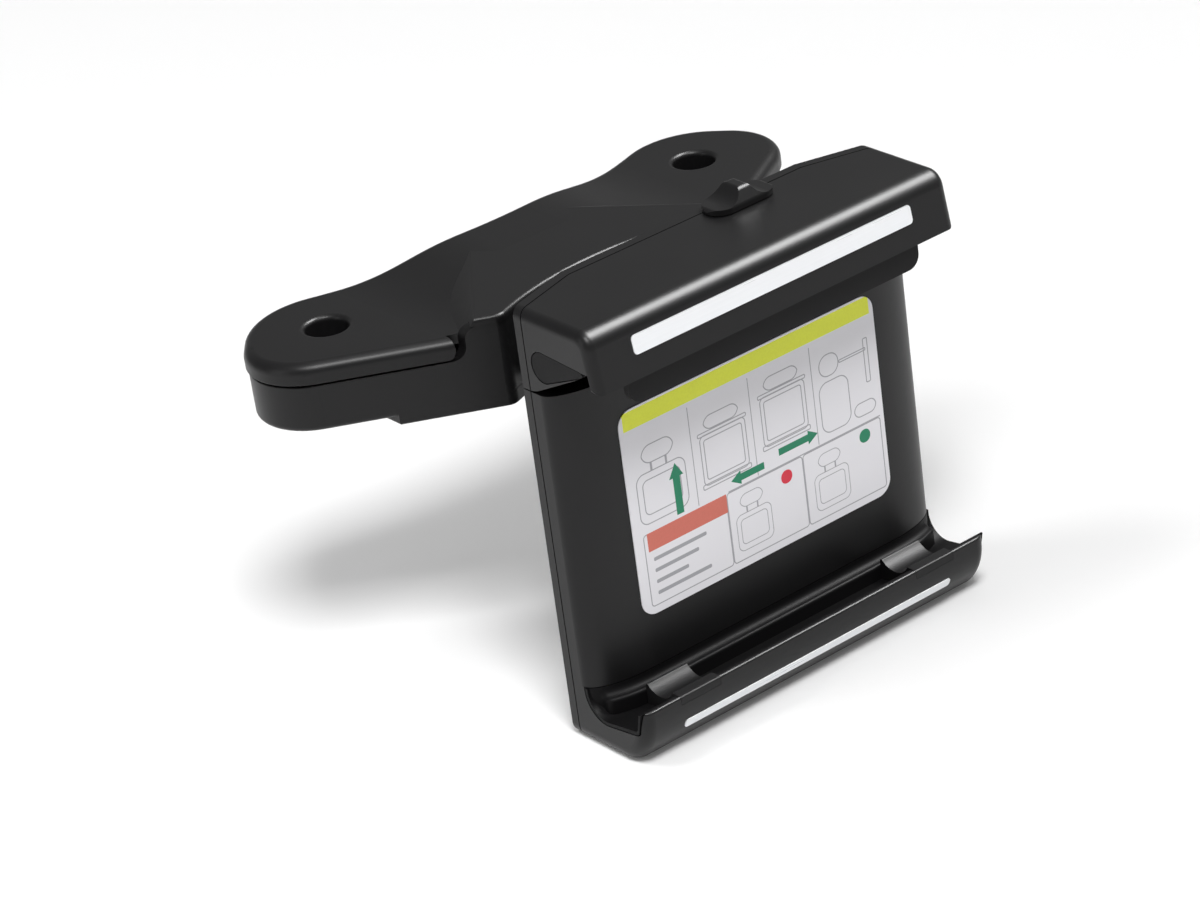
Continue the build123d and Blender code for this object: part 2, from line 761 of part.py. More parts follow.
def plate_outline(grow):
    """Plan of the plate's front shell, grown forward, its front edges rounded softly to the sides."""
    half = HOLDER_HALF + grow
    side_y = front_y + PLATE_EDGE
    flat_x = HOLDER_HALF - PLATE_EDGE_RUN
    face_y = front_y - grow
    pull_x = flat_x + ROUND * (half - flat_x)
    pull_y = side_y + ROUND * (face_y - side_y)
    with BuildSketch() as plan:
        with BuildLine():
            Polyline((-half, side_y), *rear_line(REAR_COVER), (half, side_y))
            Bezier((half, side_y), (half, pull_y), (pull_x, face_y), (flat_x, face_y))
            Line((flat_x, face_y), (-flat_x, face_y))
            Bezier((-flat_x, face_y), (-pull_x, face_y), (-half, pull_y), (-half, side_y))
        make_face()
    return plan.sketch


def plate_face_at(x):
    """Y of the plate's front face at x."""
    past = max(0.0, abs(x) - HOLDER_HALF + PLATE_EDGE_RUN) / PLATE_EDGE_RUN
    return front_y + PLATE_EDGE * (1 - sqrt(max(0.0, 1 - past**2)))


def holder_front_view(inset):
    """Front view of the plate, inset from its outline, rounded at its lower corners, open above."""
    with BuildSketch() as view:
        with Locations((0, holder_base + inset + far / 2)):
            Rectangle(2 * (HOLDER_HALF - inset), far)
        fillet(view.vertices().group_by(Axis.Y)[0], PLATE_CORNER - inset)
    return view.sketch


def basin_outline():
    """Plan of the trough's open top, in front of the plate's rounded face."""
    with BuildSketch() as plan:
        with Locations((0, (seat_rear + lip_y) / 2)):
            Rectangle(2 * far, seat_rear - lip_y)
        add(plate_outline(0), mode=Mode.SUBTRACT)
    return plan.sketch


def ledge_outline():
    """Plan of the ledge at the plate's foot, which follows the plate's face and ends short of the sides."""
    with BuildSketch() as plan:
        add(plate_outline(LEDGE))
        with Locations((0, seat_rear - far / 2)):
            Rectangle(2 * (HOLDER_HALF - LEDGE_END), far, mode=Mode.INTERSECT)
        ends = plan.vertices().filter_by(lambda v: abs(v.X) > HOLDER_HALF - LEDGE_END - NEAR)
        fillet(ends.filter_by(lambda v: v.Y < seat_rear - NEAR), LEDGE_CORNER)
    return plan.sketch


def seam_plan():
    """Plan of the narrow line left open between a front shell and its rear cover."""
    with BuildSketch() as plan:
        with BuildLine():
            Polyline(*rear_line(REAR_COVER), *reversed(rear_line(REAR_COVER + SEAM)), close=True)
        make_face()
    return plan.sketch


lip_profile = lip_section()
strip_plane = toe_plane(LOWER_STRIP_RISE)
plate_base_plan = shell_plan(front_y)
plate_plan = plate_outline(0)
basin_plan = basin_outline()
ledge_plan = ledge_outline()
front_view = holder_front_view(0)
front_view_core = holder_front_view(SEAM_DEPTH)
seam_band = seam_plan()

with BuildPart() as plate_seam:
    with BuildSketch(Plane.XY.offset(holder_base)):
        add(seam_band)
    extrude(amount=far)
    with BuildSketch(Plane.XZ):
        add(front_view_core)
    extrude(amount=2 * far, both=True, mode=Mode.SUBTRACT)

with BuildPart() as lower_lip:
    with BuildSketch(Plane.YZ):
        add(lip_profile)
    extrude(amount=HOLDER_HALF, both=True)
    end_edges = lower_lip.faces().filter_by(Axis.X).edges()
    free_edges = end_edges.filter_by(lambda e: e.center().Y < seat_rear - NEAR)
    fillet(free_edges.filter_by(lambda e: e.center().Z < insert_top - NEAR), PLATE_CORNER)
    rim = lower_lip.faces().sort_by(Axis.Z)[-1].edges().sort_by(Axis.Y)[:-1]
    fillet(rim, LIP_EDGE)

with BuildPart() as plate_front_shell:
    with BuildSketch(Plane.XY.offset(holder_base)):
        add(plate_base_plan)
    extrude(amount=LIP_HEIGHT)
    with BuildSketch(Plane.XY.offset(insert_top)):
        add(plate_plan)
    extrude(amount=plate_top - insert_top)
    with BuildSketch(Plane.XZ):
        add(front_view)
    extrude(amount=2 * far, both=True, mode=Mode.INTERSECT)
    add(plate_seam.part, mode=Mode.SUBTRACT)
    add(lower_lip.part)
    with BuildSketch(Plane.YZ):
        add(seat_profile)
    extrude(amount=far, both=True, mode=Mode.SUBTRACT)
    for side in (-1, 1):
        with BuildSketch(Plane.XY.offset(insert_top)):
            with Locations((side * grip_middle, lip_y + LIP / 2)):
                Rectangle(GRIP_LENGTH + 2 * SEAT_CLEAR, 2 * LIP)
        extrude(amount=-GRIP - SEAT_CLEAR, mode=Mode.SUBTRACT)
        with BuildSketch(Plane.XY.offset(insert_top)):
            with Locations((side * grip_middle, lip_y)):
                Rectangle(GRIP_LENGTH + 2 * SEAT_CLEAR, 2 * GRIP_FLAP)
        extrude(amount=-GRIP - SEAT_CLEAR - GRIP_DROP, mode=Mode.SUBTRACT)
    with BuildSketch(strip_plane):
        RectangleRounded(
            2 * (strip_half + SEAT_CLEAR), LOWER_STRIP_HEIGHT + 2 * SEAT_CLEAR, STRIP_CORNER
        )
    extrude(amount=-STRIP, mode=Mode.SUBTRACT)
    with BuildSketch(Plane.XY.offset(holder_base + WELL_FLOOR)):
        with Locations((0, parting_y)):
            Rectangle(2 * well_half, 2 * well)
    extrude(amount=plate_roof - holder_base - WELL_FLOOR, mode=Mode.SUBTRACT)
    core_base = insert_top + PLATE_WALL
    core_top = plate_roof - 2 * BOSS_R
    for side in (-1, 1):
        with BuildSketch(Plane.XY.offset(core_base)):
            with Locations((side * (CORE_INNER + CORE_OUTER) / 2, parting_y)):
                Rectangle(CORE_OUTER - CORE_INNER, 2 * (PLATE - REAR_COVER - PLATE_WALL))
        extrude(amount=core_top - core_base, mode=Mode.SUBTRACT)
        with BuildSketch(Plane.XY.offset(plate_roof)):
            with Locations((side * RAIL_X, slide_y)):
                Rectangle(RAIL_WIDTH + 2 * SLIDE_CLEAR, RAIL + 2 * SLIDE_CLEAR)
        extrude(amount=far, mode=Mode.SUBTRACT)
    with BuildSketch(Plane.XY.offset(plate_roof)):
        with Locations((LOCK_BAR_X - LOCK_TRAVEL / 2, slide_y)):
            Rectangle(LOCK_BAR_WIDTH + LOCK_TRAVEL + 2 * SLIDE_CLEAR, LOCK_BAR + 2 * SLIDE_CLEAR)
    extrude(amount=far, mode=Mode.SUBTRACT)
    with BuildSketch(Plane.XY.offset(holder_base + WELL_FLOOR)):
        brake_x = LOCK_BAR_X - LOCK_BAR_WIDTH / 2 - LOCK_TRAVEL - BRAKE_GAP - BRAKE_RIB / 2
        with Locations((brake_x, slide_y)):
            Rectangle(BRAKE_RIB, well)
    extrude(amount=plate_roof - holder_base - WELL_FLOOR)
    with BuildSketch(Plane.XZ.offset(-screw_floor_y)):
        with Locations(*plate_screw_spots):
            Circle(SCREW_R + SCREW_FIT)
    extrude(amount=HOLDER_SCREW + 2 * SCREW_FIT, mode=Mode.SUBTRACT)

# Holder rear cover, with the hinge knuckle in one piece

with BuildPart() as plate_rear_cover:
    with BuildSketch(Plane.XY.offset(holder_base)):
        add(cover_band)
    extrude(amount=plate_top - holder_base)
    low_ends = plate_rear_cover.faces().filter_by(Axis.X).edges().filter_by(Axis.Y).group_by(Axis.Z)[0]
    fillet(low_ends, PLATE_CORNER)
    with BuildSketch(Plane.YZ):
        with Locations((hinge_y, hinge_z)):
            Circle(KNUCKLE_R)
        with BuildLine():
            Polyline(
                (hinge_y, hinge_z + KNUCKLE_R),
                (hinge_y, hinge_z - KNUCKLE_R),
                (rear_y - REAR_COVER / 2, hinge_z - KNUCKLE_R - HINGE_STANDOFF / 3),
                (rear_y - REAR_COVER / 2, plate_top - JAW_GAP),
                close=True,
            )
        make_face()
    extrude(amount=KNUCKLE_HALF, both=True)
    with BuildSketch(Plane.YZ):
        with Locations((hinge_y, hinge_z)):
            Circle(PIN_R + PIN_CLEAR)
    extrude(amount=far, both=True, mode=Mode.SUBTRACT)
    with BuildSketch(Plane.XZ.offset(-screw_floor_y)):
        with Locations(*plate_screw_spots):
            Circle(SCREW_HEAD_R + SCREW_FIT)
    extrude(amount=-2 * REAR_COVER, mode=Mode.SUBTRACT)
    with BuildSketch(Plane.XZ.offset(-rear_y)):
        with Locations(*plate_screw_spots):
            Circle(SCREW_R + SCREW_FIT)
    extrude(amount=far, mode=Mode.SUBTRACT)


def rear_screws(spots, length):
    """Screws put in from behind at the given X and Z, sunk in the rear cover."""
    with BuildPart() as screws:
        with BuildSketch(Plane.XZ.offset(-screw_floor_y)):
            with Locations(*spots):
                Circle(SCREW_HEAD_R)
        extrude(amount=-HOLDER_SCREW_SINK)
        with BuildSketch(Plane.XZ.offset(-screw_floor_y)):
            with Locations(*spots):
                Circle(SCREW_R)
        extrude(amount=length)
    return screws


plate_screws = rear_screws(plate_screw_spots, HOLDER_SCREW)

# Lower jaw: trough insert, grip pads and accent strip

with BuildPart() as lower_jaw_channel:
    with BuildSketch(Plane.YZ):
        add(channel_profile)
    extrude(amount=far, both=True)
    with BuildSketch(Plane.XY.offset(holder_base)):
        add(basin_plan)
    extrude(amount=far, mode=Mode.INTERSECT)

with BuildPart() as lower_jaw_ledge:
    with BuildSketch(Plane.XY.offset(holder_base)):
        add(ledge_plan)
    extrude(amount=ledge_z - holder_base)
    brow = lower_jaw_ledge.faces().sort_by(Axis.Z)[-1].edges().sort_by(Axis.Y)[:-1]
    fillet(brow, LEDGE_EDGE)
    with BuildSketch(Plane.YZ):
        add(insert_profile)
    extrude(amount=far, both=True, mode=Mode.INTERSECT)

with BuildPart() as lower_jaw_insert:
    with BuildSketch(Plane.YZ):
        add(insert_profile)
    extrude(amount=HOLDER_HALF, both=True)
    add(lower_jaw_channel.part, mode=Mode.SUBTRACT)
    add(lower_jaw_ledge.part)
    feet = lower_jaw_insert.edges().filter_by_position(Axis.Z, ledge_z - NEAR, ledge_z + NEAR)
    inner_feet = feet.filter_by(lambda e: abs(e.center().Y - plate_face_at(e.center().X)) < LEDGE_EDGE)
    fillet(inner_feet, LEDGE_COVE)
    for side in (-1, 1):
        with BuildSketch(Plane.XY.offset(insert_top)):
            with Locations((side * grip_middle, (lip_y + trough_front) / 2)):
                Rectangle(GRIP_LENGTH + 2 * SEAT_CLEAR, 2 * (trough_front - lip_y))
        extrude(amount=-GRIP - SEAT_CLEAR, mode=Mode.SUBTRACT)

grip_pads = []
for side, name in ((-1, "left"), (1, "right")):
    with BuildPart() as grip_pad:
        with BuildSketch(Plane.YZ.offset(side * grip_inner)):
            add(grip_profile)
        extrude(amount=side * GRIP_LENGTH)
    grip_pads.append((grip_pad, f"lower_grip_pad_{name}"))

with BuildPart() as lower_accent_strip:
    with BuildSketch(strip_plane.offset(-STRIP)):
        RectangleRounded(2 * strip_half, LOWER_STRIP_HEIGHT, STRIP_CORNER)
    extrude(amount=STRIP + STRIP_PROUD)

with BuildPart() as instruction_sticker:
    with BuildSketch(Plane.XZ.offset(-front_y)):
        with Locations((0, jaw_top - STICKER_TOP - STICKER_HEIGHT / 2)):
            RectangleRounded(2 * (HOLDER_HALF - STICKER_END), STICKER_HEIGHT, STICKER_CORNER)
    extrude(amount=STICKER)

# Upper jaw: lines of its leaning front and of the tunnel that takes the insert

lean_run = JAW_FRONT_LOW - JAW_FRONT_TOP
lean_length = hypot(lean_run, JAW_FRONT_DROP)
jaw_front_base = jaw_top - JAW_FRONT_DROP
bulb = (rear_y - BULB_DEPTH, jaw_base + BULB_RISE)
tip = (rear_y - TIP_DEPTH, jaw_base + TIP_RISE)
slot_top = jaw_base + SLOT_RISE


def front_at(z):
    """Y of the upper jaw's leaning front face at height z."""
    return rear_y - JAW_FRONT_LOW + lean_run * (z - jaw_front_base) / JAW_FRONT_DROP


def teardrop(grow):
    """Section of the insert's tunnel: a bulb at the back drawn out to a thin tip."""
    with BuildSketch() as profile:
        with Locations(bulb):
            Circle(BULB_R + grow)
        with Locations(tip):
            Circle(TIP_R + grow)
        make_hull()
    return profile.sketch


tunnel_profile = teardrop(BULB_GAP)
bulb_profile = teardrop(0)
strip_plane = Plane(
    origin=(0, front_at(jaw_top - UPPER_STRIP_DROP), jaw_top - UPPER_STRIP_DROP),
    x_dir=(1, 0, 0),
    z_dir=(0, -JAW_FRONT_DROP / lean_length, lean_run / lean_length),
)


def jaw_section():
    """Section of the upper jaw: flat top, rounded ridge, leaning front, rising underside."""
    with BuildSketch() as profile:
        with BuildLine():
            Polyline(
                (0, jaw_top),
                (rear_y - JAW_FRONT_TOP, jaw_top),
                (rear_y - JAW_FRONT_LOW, jaw_front_base),
                (rear_y - JAW_FRONT_LOW + JAW_FRONT_WALL, jaw_front_base),
                (rear_y - SHELF_FRONT, jaw_base + SHELF_RISE),
                (rear_y - SHELF_FLAT, jaw_base),
                (0, jaw_base),
                close=True,
            )
        make_face()
        ridge = profile.vertices().filter_by(lambda v: v.Y > jaw_top - NEAR).sort_by(Axis.X)[0]
        fillet(ridge, RIDGE_R)
        heel = profile.vertices().filter_by(lambda v: v.Y < jaw_base + NEAR).sort_by(Axis.X)[0]
        fillet(heel, SHELF_FLAT)
    return profile.sketch


def jaw_core_view():
    """Front view inside the upper jaw's outline, by the depth of the parting line, open below."""
    with BuildSketch() as view:
        with Locations((0, jaw_top - SEAM_DEPTH - far / 2)):
            Rectangle(2 * (HOLDER_HALF - SEAM_DEPTH), far)
        fillet(view.vertices().group_by(Axis.Y)[-1], JAW_END - SEAM_DEPTH)
    return view.sketch


jaw_profile = jaw_section()
jaw_core = jaw_core_view()

with BuildPart() as jaw_seam:
    with BuildSketch(Plane.XY.offset(jaw_base)):
        add(seam_band)
    extrude(amount=JAW_HEIGHT)
    with BuildSketch(Plane.XZ):
        add(jaw_core)
    extrude(amount=2 * far, both=True, mode=Mode.SUBTRACT)

# Upper jaw shell

with BuildPart() as upper_jaw_shell:
    with BuildSketch(Plane.XY.offset(jaw_base)):
        add(jaw_plan)
    extrude(amount=JAW_HEIGHT)
    with BuildSketch(Plane.YZ):
        add(jaw_profile)
    extrude(amount=far, both=True, mode=Mode.INTERSECT)
    end_faces = upper_jaw_shell.faces().filter_by(Axis.X)
    outer = end_faces.edges().filter_by(
        lambda e: e.center().Z > jaw_front_base + NEAR and e.bounding_box().size.Y > NEAR
    )
    fillet(outer.filter_by(lambda e: e.center().Z > jaw_base + SHELF_RISE), JAW_END)
    add(jaw_seam.part, mode=Mode.SUBTRACT)
    with BuildSketch(Plane.YZ):
        add(tunnel_profile)
    extrude(amount=far, both=True, mode=Mode.SUBTRACT)
    with BuildSketch(Plane.YZ):
        with BuildLine():
            Polyline(
                (rear_y - SHELF_FRONT, jaw_base),
                (rear_y - SHELF_FRONT, slot_top),
                (front_at(slot_top) + JAW_FRONT_WALL, slot_top),
                (front_at(jaw_front_base) + JAW_FRONT_WALL, jaw_front_base),
                (front_at(jaw_front_base) + JAW_FRONT_WALL, jaw_base),
                close=True,
            )
        make_face()
    extrude(amount=far, both=True, mode=Mode.SUBTRACT)
    with BuildSketch(Plane.XZ.offset(SHELF_FRONT - rear_y)):
        for side in (-1, 1):
            with Locations((side * HOLDER_HALF, jaw_front_base)):
                Rectangle(2 * JAW_CORNER, 2 * JAW_CORNER)
        for side in (-1, 1):
            with Locations((side * (HOLDER_HALF - JAW_CORNER), jaw_front_base + JAW_CORNER)):
                Circle(JAW_CORNER, mode=Mode.SUBTRACT)
    extrude(amount=far, mode=Mode.SUBTRACT)
    with BuildSketch(strip_plane):
        RectangleRounded(2 * (strip_half + SEAT_CLEAR), UPPER_STRIP_HEIGHT + 2 * SEAT_CLEAR, STRIP_CORNER)
    extrude(amount=-STRIP, mode=Mode.SUBTRACT)
    with BuildSketch(Plane.XY.offset(jaw_base)):
        with Locations((0, parting_y)):
            Rectangle(2 * well_half, 2 * well)
    extrude(amount=jaw_roof - jaw_base, mode=Mode.SUBTRACT)
    with BuildSketch(Plane.XY.offset(jaw_roof)):
        with Locations((LOCK_X - LOCK_TRAVEL / 2, slide_y)):
            Rectangle(LOCK_STEM + LOCK_TRAVEL + 2 * SLIDE_CLEAR, LOCK_BAR + 2 * SLIDE_CLEAR)
    extrude(amount=far, mode=Mode.SUBTRACT)
    with BuildSketch(Plane.XZ.offset(-screw_floor_y)):
        with Locations(*jaw_screw_spots):
            Circle(SCREW_R + SCREW_FIT)
    extrude(amount=HOLDER_SCREW + 2 * SCREW_FIT, mode=Mode.SUBTRACT)

# Upper jaw rear cover, with the pegs that hold the rails

with BuildPart() as upper_jaw_rear_cover:
    with BuildSketch(Plane.XY.offset(jaw_base)):
        add(cover_band)
    extrude(amount=JAW_HEIGHT)
    top_ends = upper_jaw_rear_cover.faces().filter_by(Axis.X).edges().filter_by(Axis.Y).group_by(Axis.Z)[-1]
    fillet(top_ends, JAW_END)
    with BuildSketch(Plane.XZ.offset(-parting_y)):
        with Locations((-RAIL_X, jaw_base + BULB_RISE), (RAIL_X, jaw_base + BULB_RISE)):
            Circle(PEG_R)
    extrude(amount=SLIDE_CLEAR + RAIL)
    with BuildSketch(Plane.XZ.offset(-screw_floor_y)):
        with Locations(*jaw_screw_spots):
            Circle(SCREW_HEAD_R + SCREW_FIT)
    extrude(amount=-2 * REAR_COVER, mode=Mode.SUBTRACT)
    with BuildSketch(Plane.XZ.offset(-rear_y)):
        with Locations(*jaw_screw_spots):
            Circle(SCREW_R + SCREW_FIT)
    extrude(amount=2 * well, mode=Mode.SUBTRACT)

jaw_screws = rear_screws(jaw_screw_spots, HOLDER_SCREW)

# Upper jaw insert, soft lip and accent strip

with BuildPart() as upper_jaw_insert:
    with BuildSketch(Plane.YZ):
        add(bulb_profile)
    extrude(amount=HOLDER_HALF - SEAT_CLEAR, both=True)

with BuildPart() as upper_jaw_pad:
    lip_top = slot_top - SEAT_CLEAR
    lip_low = jaw_base - SOFT_LIP_DROP
    lip_face = JAW_FRONT_WALL + SEAT_CLEAR
    with BuildSketch(Plane.YZ):
        with BuildLine():
            Polyline(
                (front_at(lip_top) + lip_face, lip_top),
                (front_at(jaw_front_base) + lip_face, jaw_front_base),
                (front_at(jaw_front_base) + lip_face, lip_low),
                (front_at(jaw_front_base) + lip_face + SOFT_LIP, lip_low),
                (front_at(jaw_front_base) + lip_face + SOFT_LIP, jaw_front_base),
                (front_at(lip_top) + lip_face + SOFT_LIP, lip_top),
                close=True,
            )
        make_face()
    extrude(amount=HOLDER_HALF - SOFT_LIP_END, both=True)
    low_ends = upper_jaw_pad.edges().filter_by(Axis.Y).group_by(Axis.Z)[0]
    fillet(low_ends, SOFT_LIP_CORNER)

with BuildPart() as upper_accent_strip:
    with BuildSketch(strip_plane.offset(-STRIP)):
        RectangleRounded(2 * strip_half, UPPER_STRIP_HEIGHT, STRIP_CORNER)
    extrude(amount=STRIP + STRIP_PROUD)

# Rails that carry the upper jaw, with a foot for each return spring

rails = []
foot_base = foot_top - RAIL_FOOT
foot_inner = SPRING_X - SPRING_R - SPRING_WIRE
for side, name in ((-1, "left"), (1, "right")):
    with BuildPart() as rail:
        with BuildSketch(Plane.XY.offset(foot_base)):
            with Locations((side * RAIL_X, slide_y)):
                Rectangle(RAIL_WIDTH, RAIL)
        extrude(amount=jaw_roof - SEAT_CLEAR - foot_base)
        with BuildSketch(Plane.XY.offset(foot_base)):
            with Locations((side * (foot_inner + RAIL_X) / 2, slide_y)):
                Rectangle(RAIL_X - foot_inner, RAIL)
        extrude(amount=RAIL_FOOT)
        with BuildSketch(Plane.XZ.offset(-parting_y)):
            with Locations((side * RAIL_X, jaw_base + BULB_RISE)):
                Circle(PEG_R + SEAT_CLEAR)
        extrude(amount=2 * well, mode=Mode.SUBTRACT)
    rails.append((rail, f"slide_rail_{name}"))

springs = []
spring_base = foot_top + SPRING_SEAT + SPRING_WIRE / 2
spring_height = plate_roof - SPRING_SEAT - SPRING_WIRE / 2 - spring_base
for side, name in ((-1, "left"), (1, "right")):
    with BuildPart() as spring:
        with BuildLine() as coil:
            foot = (side * SPRING_X, slide_y, spring_base)
            Helix(spring_height / SPRING_TURNS, spring_height, SPRING_R, foot)
        with BuildSketch(Plane(origin=coil.line @ 0, z_dir=coil.line % 0)):
            Rectangle(SPRING_WIRE, SPRING_WIRE)
        sweep(is_frenet=True)
    springs.append((spring, f"return_spring_{name}"))

# Lock: thumb slider on top of the jaw and the bar it carries down into the plate

arm_top = jaw_roof - SLIDE_CLEAR


def lock_front_view():
    """Front view of the lock slider: low wings that sweep up to a thumb fin in the middle."""
    scoop_x = LOCK_FIN / 2 + LOCK_SCOOP
    end_x = LOCK_LENGTH / 2
    with BuildSketch() as view:
        with Locations((LOCK_X, jaw_top + (LOCK_LIFT + LOCK_HEIGHT) / 2)):
            Rectangle(LOCK_LENGTH, LOCK_HEIGHT - LOCK_LIFT)
        for side in (-1, 1):
            with Locations((LOCK_X + side * scoop_x, jaw_top + LOCK_WING + LOCK_SCOOP)):
                Circle(LOCK_SCOOP, mode=Mode.SUBTRACT)
            with Locations((LOCK_X + side * (scoop_x + end_x), jaw_top + LOCK_WING + end_x)):
                Rectangle(LOCK_LENGTH, LOCK_LENGTH, mode=Mode.SUBTRACT)
        fillet(view.vertices().group_by(Axis.Y)[-1], LOCK_EDGE)
        ends = view.vertices().filter_by(lambda v: abs(abs(v.X - LOCK_X) - end_x) < NEAR)
        fillet(ends.group_by(Axis.Y)[-1], LOCK_EDGE)
    return view.sketch


def lock_end_view():
    """End view of the lock slider, its fin narrower than its wings and rounded at the top."""
    with BuildSketch() as view:
        with BuildLine():
            Polyline(
                (slide_y - LOCK_WIDTH / 2, jaw_top),
                (slide_y - LOCK_WIDTH / 2, jaw_top + LOCK_WING),
                (slide_y - LOCK_FIN_WIDTH / 2, jaw_top + LOCK_HEIGHT),
                (slide_y + LOCK_FIN_WIDTH / 2, jaw_top + LOCK_HEIGHT),
                (slide_y + LOCK_WIDTH / 2, jaw_top + LOCK_WING),
                (slide_y + LOCK_WIDTH / 2, jaw_top),
                close=True,
            )
        make_face()
        fillet(view.vertices().filter_by(lambda v: v.Y > jaw_top + NEAR), LOCK_CROWN)
    return view.sketch


lock_view = lock_front_view()
lock_side = lock_end_view()

with BuildPart() as lock_slider:
    with BuildSketch(Plane.XY.offset(jaw_top)):
        with Locations((LOCK_X, slide_y)):
            SlotOverall(LOCK_LENGTH, LOCK_WIDTH)
    extrude(amount=LOCK_HEIGHT)
    with BuildSketch(Plane.YZ.offset(LOCK_X)):
        add(lock_side)
    extrude(amount=far, both=True, mode=Mode.INTERSECT)
    with BuildSketch(Plane.XZ):
        add(lock_view)
    extrude(amount=far, both=True, mode=Mode.INTERSECT)
    with BuildSketch(Plane.XY.offset(jaw_top + LOCK_LIFT)):
        with Locations((LOCK_X, slide_y)):
            Rectangle(LOCK_STEM, LOCK_BAR)
    extrude(amount=arm_top - jaw_top - LOCK_LIFT)

with BuildPart() as lock_bar:
    bar_left = LOCK_BAR_X - LOCK_BAR_WIDTH / 2
    arm_right = LOCK_X + LOCK_STEM / 2
    with BuildSketch(Plane.XY.offset(arm_top - LOCK_ARM)):
        with Locations(((bar_left + arm_right) / 2, slide_y)):
            Rectangle(arm_right - bar_left, LOCK_BAR)
    extrude(amount=LOCK_ARM)
    with BuildSketch(Plane.XY.offset(foot_base)):
        with Locations((LOCK_BAR_X, slide_y)):
            Rectangle(LOCK_BAR_WIDTH, LOCK_BAR)
    extrude(amount=arm_top - foot_base)

for builder, label in (
    (arm_top_cover, "arm_top_cover"),
    (arm_lower_body, "arm_lower_body"),
    (arm_screws, "arm_screws"),
    (hinge_bolt, "hinge_bolt"),
    (hinge_nut, "hinge_nut"),
    *friction_washers,
    (plate_front_shell, "plate_front_shell"),
    (plate_rear_cover, "plate_rear_cover"),
    (plate_screws, "plate_screws"),
    (lower_jaw_insert, "lower_jaw_insert"),
    *grip_pads,
    (lower_accent_strip, "lower_accent_strip"),
    (instruction_sticker, "instruction_sticker"),
    (upper_jaw_shell, "upper_jaw_shell"),
    (upper_jaw_rear_cover, "upper_jaw_rear_cover"),
    (jaw_screws, "jaw_screws"),
    (upper_jaw_insert, "upper_jaw_insert"),
    (upper_jaw_pad, "upper_jaw_pad"),
    (upper_accent_strip, "upper_accent_strip"),
    *rails,
    *springs,
    (lock_slider, "lock_slider"),
    (lock_bar, "lock_bar"),
):
    save(builder, label)
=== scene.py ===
"""Looks of a tablet mount for a car headrest: finishes of the moulded parts, the printed sticker, screws with
driven heads, and a white studio with a camera at the photograph's viewing angle.
"""

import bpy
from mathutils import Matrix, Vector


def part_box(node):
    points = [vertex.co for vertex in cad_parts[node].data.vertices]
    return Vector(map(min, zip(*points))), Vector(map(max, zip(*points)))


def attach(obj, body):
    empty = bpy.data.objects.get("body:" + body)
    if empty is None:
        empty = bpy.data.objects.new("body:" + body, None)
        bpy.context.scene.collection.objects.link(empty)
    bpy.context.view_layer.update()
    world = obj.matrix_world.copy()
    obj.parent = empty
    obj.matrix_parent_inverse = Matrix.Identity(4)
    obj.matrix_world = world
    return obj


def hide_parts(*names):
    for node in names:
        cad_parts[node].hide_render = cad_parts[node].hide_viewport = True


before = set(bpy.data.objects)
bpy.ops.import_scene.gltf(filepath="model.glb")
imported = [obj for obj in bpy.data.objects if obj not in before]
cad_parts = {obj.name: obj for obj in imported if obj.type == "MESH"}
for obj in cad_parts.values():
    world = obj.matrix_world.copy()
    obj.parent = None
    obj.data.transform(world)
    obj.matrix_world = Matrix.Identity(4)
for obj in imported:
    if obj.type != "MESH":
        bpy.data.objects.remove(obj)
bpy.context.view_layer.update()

import bmesh
import bpy
from bpy.props import FloatProperty, FloatVectorProperty, PointerProperty
from mathutils import Matrix, Vector

bl_info = {
    "name": "Headrest tablet mount looks",
    "version": (1, 0, 0),
    "blender": (4, 5, 0),
    "location": "View3D > Sidebar > Tablet Mount",
    "description": "Finishes, printed sticker, screws and studio for a headrest tablet mount",
    "category": "Object",
}

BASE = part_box("plate_front_shell")[0][2]
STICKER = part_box("instruction_sticker")

# How far gloss and tone vary over a moulded and over a brushed surface
GLOSS_SWING = 0.05
TONE_SWING = 0.12
BRUSH_GLOSS_SWING = 0.06
BRUSH_DARK = 0.95
BRUSH_LIGHT = 1.04

# Screws: sides of a head, steps of its rounded edge, size of the recess at its floor, tolerance for picking
SCREW_SIDES = 32
EDGE_STEPS = 3
CROSS_TAPER = 0.72
NEAR = 1e-6

# How far the tone of the film and of the inks varies, and a reach in metres past any depth of the film
FILM_SHADE = 0.985
INK_SWING = 0.06
ANY_DEPTH = 1

# Coloured print: left, top, right and bottom of each field in shares of the sticker
BAND = (0.016, 0.010, 0.984, 0.097)
FIELD = (0.05, 0.61, 0.36, 0.70)
GREEN_DISC = (0.895, 0.635, 0.939, 0.700)
RED_DISC = (0.575, 0.640, 0.619, 0.705)
DISC_CORNER = 0.0020
FIELD_CORNER = 0.0002

# Arrows: tip in shares of the sticker, direction, length and shaft width in metres
ARROWS = (
    ((0.185, 0.345), (0, 1), 0.0160, 0.0026),
    ((0.385, 0.565), (-1, 0), 0.0125, 0.0022),
    ((0.735, 0.540), (1, 0), 0.0150, 0.0022),
)

# Length of an arrow's head in shaft widths
ARROW_HEAD = 1.7

# Panels of the print: upright lines between the upper ones, the line under them, and the lower frames
PANEL_LINES = (0.255, 0.49, 0.735)
PANEL_LINE_HALF = 0.0015
PANEL_TOP = 0.12
PANEL_BOTTOM = 0.60
PANEL_BASE_LINE = (0.37, 0.604, 0.985, 0.610)
PANEL_LINE_CORNER = 0.0001
FRAMES = ((0.035, 0.61, 0.36, 0.965), (0.36, 0.61, 0.665, 0.965), (0.665, 0.61, 0.985, 0.965))
FRAME_CORNER = 0.0012

